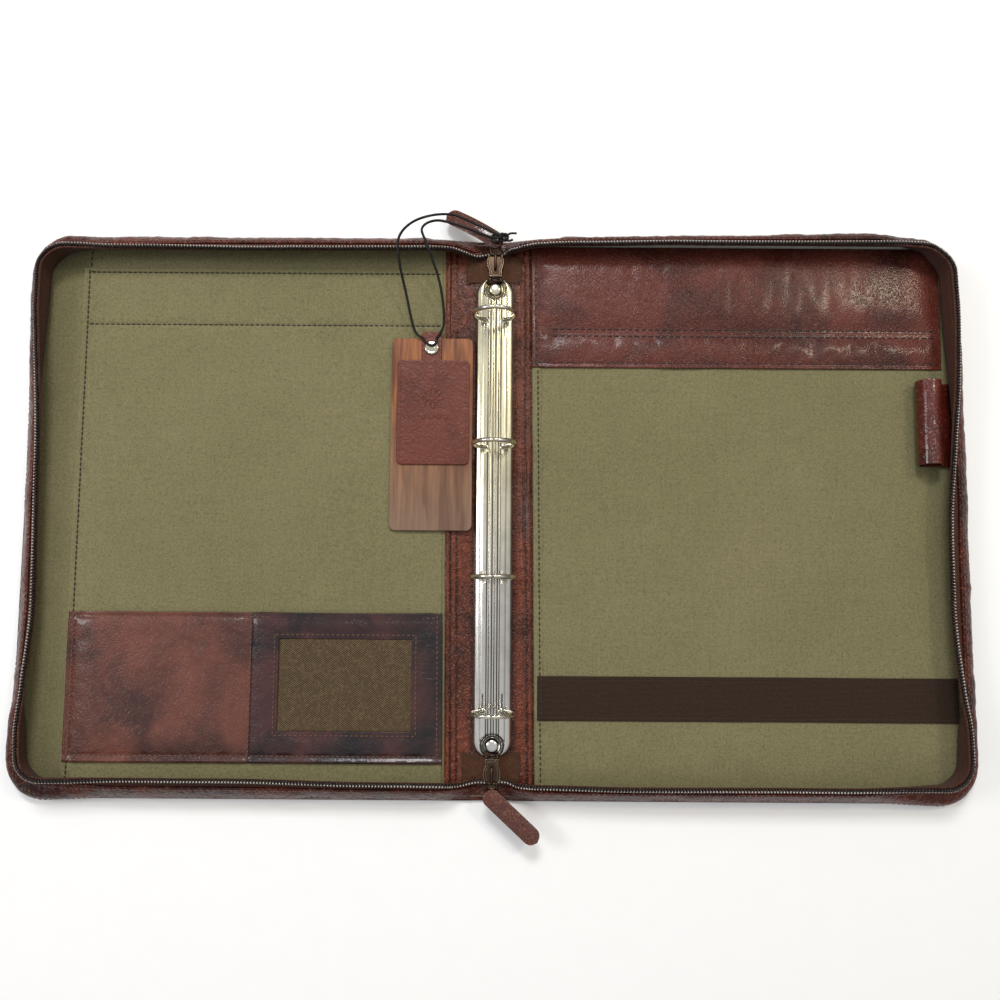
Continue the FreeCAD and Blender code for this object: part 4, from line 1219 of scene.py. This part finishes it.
def seam_dip(x, y, seams, depth, width):
    """How far a surface is pulled down at seams, each (x0, y0, x1, y1)."""
    pull = 0.0
    for x0, y0, x1, y1 in seams:
        near_x = min(max(x, min(x0, x1)), max(x0, x1))
        near_y = min(max(y, min(y0, y1)), max(y0, y1))
        away = math.hypot(x - near_x, y - near_y)
        pull = max(pull, depth * math.exp(-2 * (away / width) ** 2))
    return pull


def panel(name, xs, ys, height, side, look, pin, cloth, rim=0.5, skip=None, softer=True):
    """A sewn panel: a fine sheet let loose as cloth between its seams.

    look is (material, slot, thickness) and cloth is (pressure, slack, limit)."""
    material, slot, thickness = look
    points = [skewed(x, y, height(x, y)) for x in xs for y in ys]
    faces = quads(len(xs), len(ys), skip)
    pinned = [pin(x, y) for x in xs for y in ys]
    obj = make(name, settle(points, faces, pinned, *cloth), faces, material, slot)
    thicken(obj, thickness, rim, softer=softer)
    bend(obj, side)
    return obj


def seam_path(seam, height, gap):
    """Points every 4 mm or so along a seam (x0, y0, x1, y1), this much above a surface."""
    x0, y0, x1, y1 = seam
    count = max(2, int(math.hypot(x1 - x0, y1 - y0) / 4.0) + 1)
    spots = [(mix(x0, x1, k / (count - 1)), mix(y0, y1, k / (count - 1))) for k in range(count)]
    return [skewed(x, y, height(x, y) + gap) for x, y in spots]


# ---- left cover ---------------------------------------------------------------------
def page_pocket():
    """Canvas pocket over the whole left cover, open below the top edge, and the layer behind it."""
    x0, x1, y0, y1 = POCKET
    card_top = CARD[3]
    mouth_hem = y1 - 35.5
    top_seam = y1 - 2.3
    side_seam = x0 + 3.3
    back_seam = x0 + 3.6

    def under_tag(x, y):
        """1 where the swing tag lies against the pocket when the cover is folded up."""
        return between(x, -105, -90) * between(y, -35, -20) * (1 - between(y, 112, 116))

    def height(x, y):
        z = POCKET_Z + 0.15 * wobble(x, y, 55, 41) + 0.08 * wobble(x, y, 14, 42) - 0.35 * under_tag(x, y)
        z += 1.0 * (1 - between(x - x0, 3.0, 6.0)) + 0.7 * (1 - between(y1 - y, 2.0, 5.0))
        across = [(x0, seam_y, x1, seam_y) for seam_y in (mouth_hem, top_seam)]
        return z - seam_dip(x, y, across + [(side_seam, y0, side_seam, y1)], 0.8, 1.5)

    def pin(x, y):
        held = y < card_top - 2 or under_tag(x, y) > 0.5 or abs(y - mouth_hem) < 3
        return held or x < x0 + 7 or x > x1 - 5 or y > y1 - 5

    def back_height(x, y):
        raised = 0.35 * between(y, 168, 172)
        dip = seam_dip(x, y, [(back_seam, y1 - 2, back_seam, 172)], 0.3, 2.2)
        return LINING_Z + 0.5 + raised + 0.12 * wobble(x, y, 22, 44) - dip

    def on_back(x, y):
        return skewed(x, y, back_height(x, y))

    front = panel("page_pocket_canvas", seam_steps(x0, x1, 4.0, [side_seam]),
                  seam_steps(y0, y1, 4.0, [mouth_hem, top_seam]), height, -1, ("canvas", "canvas", 0.7),
                  pin, (0.35, 0.004, 0.35), rim=0.25)
    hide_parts("page_pocket_front")
    back = sheet("page_pocket_back_canvas", steps(x0 + 1.2, x1, 4.0), steps(y1 - 8.0, 171.0, 2.5), on_back,
                 "canvas", "canvas")
    thicken(back, 0.45, 0.1, softer=True)
    bend(back, -1, "page_pocket_back")
    seams = [(side_seam, y0 + 1, side_seam, y1 - 1), (x0 + 4, mouth_hem, x1 - 1, mouth_hem),
             (x0 + 4, top_seam, x1 - 1, top_seam)]
    paths = [seam_path(seam, height, 0.35) for seam in seams]
    paths.append(seam_path((back_seam, y1 + 1, back_seam, 169), back_height, 0.3))
    bend(sewn("page_pocket_stitches", paths, (3.2, 2.8, 0.48), "dark_thread", "canvas"), -1)


CARD_SEAM = 3.0                             # side seams of the card pocket, in from its edges
CARD_BASE_SEAM = 4.2
CARD_MOUTH_SEAM = 2.8


def card_height(x, y):
    """Leather over the cards, pulled down at its seams, with a rolled rim and a sunk window edge."""
    x0, x1, y0, y1 = CARD
    z = CARD_Z + 0.25 * wobble(x, y, 30, 51) + 0.10 * wobble(x, y, 8, 52)
    seams = [(x0 + CARD_SEAM, y0, x0 + CARD_SEAM, y1), (x1 - CARD_SEAM, y0, x1 - CARD_SEAM, y1),
             (x0, y0 + CARD_BASE_SEAM, x1, y0 + CARD_BASE_SEAM), (DIVIDER_X, y0, DIVIDER_X, y1),
             (x0, y1 - CARD_MOUTH_SEAM, x1, y1 - CARD_MOUTH_SEAM)]
    z += 0.55 * ridge(min(x - x0, y - y0) - 1.2, 0.8) - seam_dip(x, y, seams, 0.8, 2.0)
    gap = max(WINDOW[0] - x, x - WINDOW[1], WINDOW[2] - y, y - WINDOW[3])
    return z - 0.25 * ridge(gap - 2.4, 1.4)


def card_pocket():
    """Leather card pocket in two compartments, the right one with a window."""
    x0, x1, y0, y1 = CARD
    wx0, wx1, wy0, wy1 = WINDOW
    fine = 2.4
    cloth = (0.9, 0.006, 1.3)
    low_seams = [y0 + 1.2, y0 + CARD_BASE_SEAM]

    def left_pin(x, y):
        return x < x0 + 5 or x > DIVIDER_X - 2.5 or y < y0 + 6

    def right_pin(x, y):
        near_window = wx0 - 4 < x < wx1 + 4 and wy0 - 4 < y < wy1 + 4
        return x < DIVIDER_X + 3 or x > x1 - 5 or y < y0 + 6 or near_window

    left = panel("card_pocket_left", seam_steps(x0, DIVIDER_X + 0.2, fine, [x0 + 2.0]),
                 seam_steps(y0, y1, fine, low_seams + [y1 - CARD_MOUTH_SEAM]), card_height, -1,
                 ("card_red", "leather", 1.5), left_pin, cloth)
    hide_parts("card_pocket")
    xs = sorted(set(steps(DIVIDER_X, wx0, fine) + steps(wx0, wx1, fine) + steps(wx1, x1, fine)))
    ys = sorted(set(seam_steps(y0, wy0, fine, low_seams) + steps(wy0, wy1, fine) + steps(wy1, y1, fine)))

    def in_window(i, j):
        return wx0 < (xs[i] + xs[i + 1]) / 2 < wx1 and wy0 < (ys[j] + ys[j + 1]) / 2 < wy1

    panel("card_pocket_right", xs, ys, card_height, -1, ("card_dark", "leather", 1.4), right_pin, cloth,
          skip=in_window, softer=False)


def window_fabric():
    """Twill behind the card pocket's window."""
    x0, x1, y0, y1 = WINDOW
    under = 1.5

    def place(x, y):
        return x, y, 7.75 + 0.15 * wobble(x, y, 25, 55)

    fabric = sheet("window_twill_panel", steps(x0 - under, x1 + under, 3.0),
                   steps(y0 - under, y1 + under, 3.0), place, "window", "window")
    thicken(fabric, 0.4)
    ride(fabric, "left_cover", "window_fabric")


def card_pocket_stitches():
    x0, x1, y0, y1 = CARD
    left, right, low, high = x0 + CARD_SEAM, x1 - CARD_SEAM, y0 + 4, y1 - 1
    base, mouth = y0 + CARD_BASE_SEAM, y1 - CARD_MOUTH_SEAM
    out = 2.4
    wx0, wx1, wy0, wy1 = WINDOW[0] - out, WINDOW[1] + out, WINDOW[2] - out, WINDOW[3] + out
    seams = [(left, high, left, low), (left, base, right, base), (right, low, right, high),
             (DIVIDER_X, low + 1, DIVIDER_X, high), (left + 1, mouth, right - 1, mouth),
             (wx0, wy0, wx1, wy0), (wx1, wy0, wx1, wy1), (wx1, wy1, wx0, wy1), (wx0, wy1, wx0, wy0)]
    paths = [seam_path(seam, card_height, 0.4) for seam in seams]
    bend(sewn("card_pocket_stitches", paths, (3.0, 2.1, 0.42), "brown_thread", "leather"), -1)


# ---- right cover --------------------------------------------------------------------
PAD_SEAM = 2.6                              # left seam of the pad panel, in from its edge
PAD_BASE_SEAM = 3.2


def pad_height(x, y):
    """Leather of the pad panel, pulled down at its seams and at its slit."""
    x0, x1, y0, y1 = PANEL
    slit_x0, slit_x1, slit_y = SLIT
    z = PAD_Z + 0.3 * wobble(x, y, 40, 61) + 0.12 * wobble(x, y, 9, 62)
    seams = [(x0 + PAD_SEAM, y0, x0 + PAD_SEAM, y1), (x0, y0 + PAD_BASE_SEAM, x1, y0 + PAD_BASE_SEAM)]
    seams += [(slit_x0 + 2, slit_y + shift, slit_x1 - 2, slit_y + shift) for shift in (2.2, -2.0)]
    slit = [(slit_x0 + 2, slit_y + 0.1, slit_x1 - 2, slit_y + 0.1)]
    z -= seam_dip(x, y, seams, 0.6, 1.8) + seam_dip(x, y, slit, 0.63, 0.9)
    return z - 0.6 * (1 - between(y1 - y, 0, 6)) - 0.9 * (1 - between(x1 - x, 0, 7))


def pad_panel():
    """Glossy leather panel whose slit takes the back of a writing pad."""
    x0, x1, y0, y1 = PANEL
    slit_x0, slit_x1, slit_y = SLIT
    left, base = x0 + PAD_SEAM, y0 + PAD_BASE_SEAM

    def pin(x, y):
        return x < x0 + 4 or x > x1 - 3 or y < y0 + 3 or y > y1 - 3 or abs(y - slit_y) < 4.0

    fine = 2.6
    pad = panel("pad_panel_leather", seam_steps(x0, x1, fine, [left]),
                seam_steps(y0, y1, fine, [base, slit_y]), pad_height, 1, ("panel", "leather", 1.4), pin,
                (0.8, 0.006, 1.8))
    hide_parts("pad_panel")
    seams = [(left, y0 + 1, left, y1 - 1), (slit_x0, slit_y + 2.2, slit_x1, slit_y + 2.2),
             (slit_x0, slit_y - 2.0, slit_x1, slit_y - 2.0), (x0 + 3, base, x1 - 2, base)]
    paths = [seam_path(seam, pad_height, 0.4) for seam in seams]
    bend(sewn("pad_panel_stitches", paths, (4.2, 3.0, 0.46), "dark_thread", "leather"), 1)


def elastic_strap():
    """Flat elastic with a woven edge along each side, sewn down at both ends."""
    x0, x1, y0, y1 = STRAP
    offsets = [0.0, 0.4, 1.0, 1.6, 2.2, 5, 9, 13.3, 17.7, 21.7, 24.5, 25.1, 25.7, 26.3, 26.7]

    def place(x, offset):
        y = y0 + offset + 0.2 * wobble(x, 0, 70, 71)
        woven_edge = 0.22 * (ridge(offset - 1.3, 0.5) + ridge(offset - 25.4, 0.5))
        return x, y, 7.35 + woven_edge + 0.15 * wobble(x, y, 40, 72)

    strap = sheet("elastic_band", steps(x0, x1, 3.0), offsets, place, "elastic", "elastic")
    thicken(strap, 1.0, 0.2, softer=True)
    bend(strap, 1, "elastic_strap")
    paths = [[(x, y0 + 1, 7.65), (x, y1 - 1, 7.65)] for x in (29.6, 277.5)]
    bend(sewn("elastic_band_stitches", paths, (2.2, 1.6, 0.3), "dark_thread", "elastic"), 1)


def pen_loop():
    """Leather tube for a pen, on a flange sewn down beside the wall."""
    upper_flange = [(286.0, 6.9), (281.0, 6.9), (276.0, 7.0), (272.5, 7.2)]
    lower_flange = [(262.0, 6.8), (268.0, 6.7), (278.0, 6.6), (286.0, 6.5)]
    profile = upper_flange + arc((266.0, 13.5), 7.5, -62, 222, 27) + lower_flange

    def place(point, y):
        x, z = point
        pull = 0.35 * wobble(x, y, 7.0, 81) * between(z, 8, 14)
        return x + pull, y, z + pull + 0.3 * wobble(x, y, 18, 82) * between(z, 9, 15)

    loop = sheet("pen_loop_leather", profile, steps(30.0, 82.0, 1.6), place, "loop", "leather", -1)
    thicken(loop, 1.2, 0.3, softer=True)
    ride(loop, "right_cover", "pen_loop")
    path = [(275.6, y, 7.35) for y in steps(31, 81, 4)]
    ride(sewn("pen_loop_stitches", [path], (2.9, 2.0, 0.33), "brown_thread", "leather"), "right_cover")


# ---- swing tag ----------------------------------------------------------------------
CARD_UNDER, CARD_TOP = 8.0, 9.1
PATCH_TOP = 10.35
PATCH_CORNER = 3.2


def rounded_box(x0, x1, y0, y1, r, shrink=0.0):
    """Outline of a rectangle with round corners, drawn in by shrink."""
    centres = [(x1 - r, y1 - r), (x0 + r, y1 - r), (x0 + r, y0 + r), (x1 - r, y0 + r)]
    loop = []
    for quarter, centre in enumerate(centres):
        loop += arc(centre, r - shrink, 90 * quarter, 90 * quarter + 90, 7)
    return loop


def patch_outline(shrink):
    """Patch with a short neck at its top that takes the rivet."""
    y1 = PATCH[3]
    top = y1 + PATCH_NECK
    neck_half, chamfer = 6.3 - shrink, 1.4
    half = [(neck_half, y1 - shrink), (neck_half, top - 1.5), (neck_half - chamfer, top - shrink)]
    neck = [(TAG_RIVET[0] + x, y) for x, y in half + [(-x, y) for x, y in half[::-1]]]
    loop = rounded_box(*PATCH, PATCH_CORNER, shrink)
    return loop[:7] + neck + loop[7:]


def tag_card():
    card = make("tag_card_sheet", *plate(rounded_box(*TAG, 3.5), CARD_UNDER, CARD_TOP), "card", "tag_card",
                soft=False)
    round_edges(card, 0.25, 60)
    ride(card, "swing_tag", "tag_card")


def tag_patch():
    layers = [(patch_outline(0.0), CARD_TOP), (patch_outline(0.0), 10.0), (patch_outline(0.4), PATCH_TOP)]
    patch = make("tag_patch_leather", *layered(layers), "patch", "leather", soft=False)
    round_edges(patch, 0.2, 40)
    ride(patch, "swing_tag", "tag_patch")


def tag_ornament():
    """Plain pressed ornament: an eight-petalled rosette over a short wavy line, and a border."""
    cx, cy, z = -38.0, 70.5, PATCH_TOP + 0.01
    parts = []
    for cos_a, sin_a in turn(8):
        petal = []
        for cos_b, sin_b in turn(12):
            along, across = 4.2 + 2.6 * cos_b, 1.25 * sin_b
            petal.append((cx + along * cos_a - across * sin_a, cy + along * sin_a + across * cos_a, z))
        parts.append(tube(petal + petal[:1], 0.28, 6, capped=False))
    wave = [(cx - 9 + 0.5 * k, 58.5 + 1.1 * math.sin(k * 0.7), z) for k in range(37)]
    parts.append(tube(wave, 0.26, 6))
    border = [(x, y, z - 0.08) for x, y in rounded_box(*PATCH, PATCH_CORNER, 2.0)]
    parts.append(tube(border + border[:1], 0.22, 6, capped=False))
    ride(make("tag_ornament", *joined(parts), "patch", "leather"), "swing_tag")


def tag_rivet():
    profile = [(4.4, 10.35), (4.5, 10.7), (4.35, 11.2), (3.8, 11.55), (3.2, 11.6), (2.9, 11.45),
               (2.2, 11.75), (1.2, 11.95), (0.3, 12.0)]
    head = make("tag_rivet_head", *lathe(profile, TAG_RIVET, 36), "chrome", "chrome")
    ride(head, "swing_tag", "tag_rivet")


def curve_through(knots):
    """Smooth path through the knots."""
    per_span = 12
    knots = [Vector(k) for k in knots]
    padded = [knots[0]] + knots + [knots[-1]]
    path = []
    for i in range(len(knots) - 1):
        a, b, c, d = padded[i:i + 4]
        for t in (k / per_span for k in range(per_span)):
            path.append(0.5 * (2 * b + (c - a) * t + (2 * a - 5 * b + 4 * c - d) * t * t
                               + (3 * b - a - 3 * c + d) * t ** 3))
    return path + knots[-1:]


def cord():
    """Round elastic from the tag's neck over the top edge to the pull, in two strands."""
    outer = [(-44.5, 108.0, 10.9), (-50.0, 113.5, 11.4), (-55.0, 135.0, 17), (-58.5, 152.0, 25),
             (-58.0, 166.0, 28.5), (-47.0, 177.0, 27), (-28.0, 182.5, 22), (-10.0, 176.5, 19.5),
             (2.5, 170.5, 19.5), (5.0, 169.0, 20.0)]
    inner = [(-36.0, 108.0, 10.9), (-31.5, 118.0, 12.5), (-34.0, 140.0, 19), (-41.0, 160.0, 26.5),
             (-44.5, 171.0, 28.0), (-35.0, 176.5, 26.5), (-18.0, 173.5, 23), (-5.0, 169.5, 20.5),
             (4.0, 168.5, 20.2)]
    bow = [(-36.0, 108.0, 10.9), (-36.5, 104.5, 11.4), (-39.1, 103.0, 12.6), (-42.0, 104.5, 11.4),
           (-44.5, 108.0, 10.9)]
    parts = [tube(curve_through(knots), 0.78, 8) for knots in (outer, inner, bow)]
    strands = make("tag_cord_strands", *joined(parts), "cord", "cord")
    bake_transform(strands)
    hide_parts("tag_cord")


def knot():
    """Overhand knot of the cord on the top pull, with two short free ends."""
    loops = []
    for k in range(50):
        a = 4 * math.pi * k / 49
        r = 1.9 + 0.8 * math.cos(1.5 * a)
        loops.append((5.0 + r * math.cos(a), 169.0 + r * math.sin(a), 19.9 + 1.2 * math.sin(1.5 * a)))
    round_stud = [(x, y, 16.2) for x, y in arc((0, PIVOT_Y), 2.6, 0, 360, 21)]
    ends = [[(6.0, 169.5, 20.0), (9.0, 171.2, 20.6), (13.0, 171.6, 20.0)],
            [(5.5, 168.0, 20.0), (8.0, 167.2, 19.0), (10.5, 168.4, 18.0)],
            [(4.5, 169.0, 19.0), (3.5, 169.6, 17.5), (2.6, 170.0, 16.2)]]
    parts = [tube(loops, 0.75, 8), tube(round_stud, 0.68, 8)]
    parts += [tube(curve_through(knots), 0.68, 8) for knots in ends]
    ride(make("cord_knot_tied", *joined(parts), "cord", "cord"), "top_tab", "cord_knot")


# ---- hidden structure and stage -----------------------------------------------------
def finish_inner_pieces():
    """Materials for the pieces inside, which keep their own shapes."""
    inner = {"board": ("spine_board", "left_board", "right_board"),
             "felt": ("left_padding", "right_padding"),
             "steel": ("left_blade", "right_blade", "rivet_burrs")}
    for material, names in inner.items():
        for name in names:
            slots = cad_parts[name].data.materials
            slots.clear()
            slots.append(MATERIALS[material])


def floor():
    bpy.ops.mesh.primitive_plane_add(size=6.0, location=(0, 0, -0.0006))
    paper = bpy.context.object
    paper.name = "floor"
    paper.data.materials.append(floor_finish())


def area_light(name, location, aim, size, power, colour=(1, 1, 1)):
    data = bpy.data.lights.new(name, "AREA")
    data.shape = "RECTANGLE"
    data.size, data.size_y = size
    data.energy = power
    data.color = colour
    lamp = bpy.data.objects.new(name, data)
    bpy.context.scene.collection.objects.link(lamp)
    lamp.location = location
    lamp.rotation_euler = (Vector(aim) - Vector(location)).to_track_quat("-Z", "Y").to_euler()


def sky():
    """Soft light from above that fades towards the horizon, with a pale backdrop behind the case."""
    world = bpy.data.worlds.new("studio")
    world.use_nodes = True
    tree = world.node_tree
    direction = add_node(tree, "TexCoord", {}).outputs["Generated"]
    height = add_node(tree, "SeparateXYZ", {0: direction}).outputs["Z"]
    fade = add_node(tree, "MapRange", {0: height, 1: 0.25, 2: 0.85, 3: 0.14, 4: 0.72}).outputs[0]
    camera_ray = add_node(tree, "LightPath", {}).outputs["Is Camera Ray"]
    pale_behind = add_node(tree, "Math", {0: fade, 1: camera_ray}, operation="MAXIMUM").outputs[0]
    background = tree.nodes["Background"].inputs
    feed(tree, background["Color"], (1, 1, 1, 1))
    feed(tree, background["Strength"], pale_behind)
    bpy.context.scene.world = world


def lighting():
    """The sky and three lamps for the gloss on the leather and the metal."""
    sky()
    area_light("overhead", (-0.1, 1.05, 1.4), (0, 0, 0), (0.5, 0.35), 14.0)
    area_light("right_key", (0.9, 0.66, 1.4), (0.1, 0, 0), (0.16, 0.16), 5.0, (1, 0.88, 0.66))
    area_light("left_key", (-1.25, 0.2, 1.1), (-0.1, 0, 0), (0.4, 0.4), 6.0)


def camera():
    data = bpy.data.cameras.new("camera")
    data.sensor_width = 36.0
    data.lens = 30.7
    data.shift_y = 0.0326
    eye = bpy.data.objects.new("camera", data)
    bpy.context.scene.collection.objects.link(eye)
    eye.location = (0.0043, -0.0575, 0.5273)
    eye.rotation_euler = (0.0866, 0.0, 0.0068)
    bpy.context.scene.camera = eye


# ---- everything ---------------------------------------------------------------------
for build in (outer_cover, gusset, gusset_seams, wall_tape, wall_coil, wall_lining, floor_lining,
              spine_lining, half_rings):
    for cover_side in (-1, 1):
        build(cover_side)
for build in (zip_tail, slider, pull_link):
    for spine_end in (-1, 1):
        build(spine_end)
tab(1, angle=57.0, curl=-11.0)
tab(-1, angle=-47.5, curl=0.6)
for build in (outer_spine, outside_stitching, right_lining_hem, housing, rivets, page_pocket, card_pocket,
              window_fabric, card_pocket_stitches, pad_panel, elastic_strap, pen_loop, tag_card, tag_patch,
              tag_ornament, tag_rivet, cord, knot, finish_inner_pieces, floor, lighting, camera):
    build()
bpy.context.scene.view_settings.view_transform = "Standard"
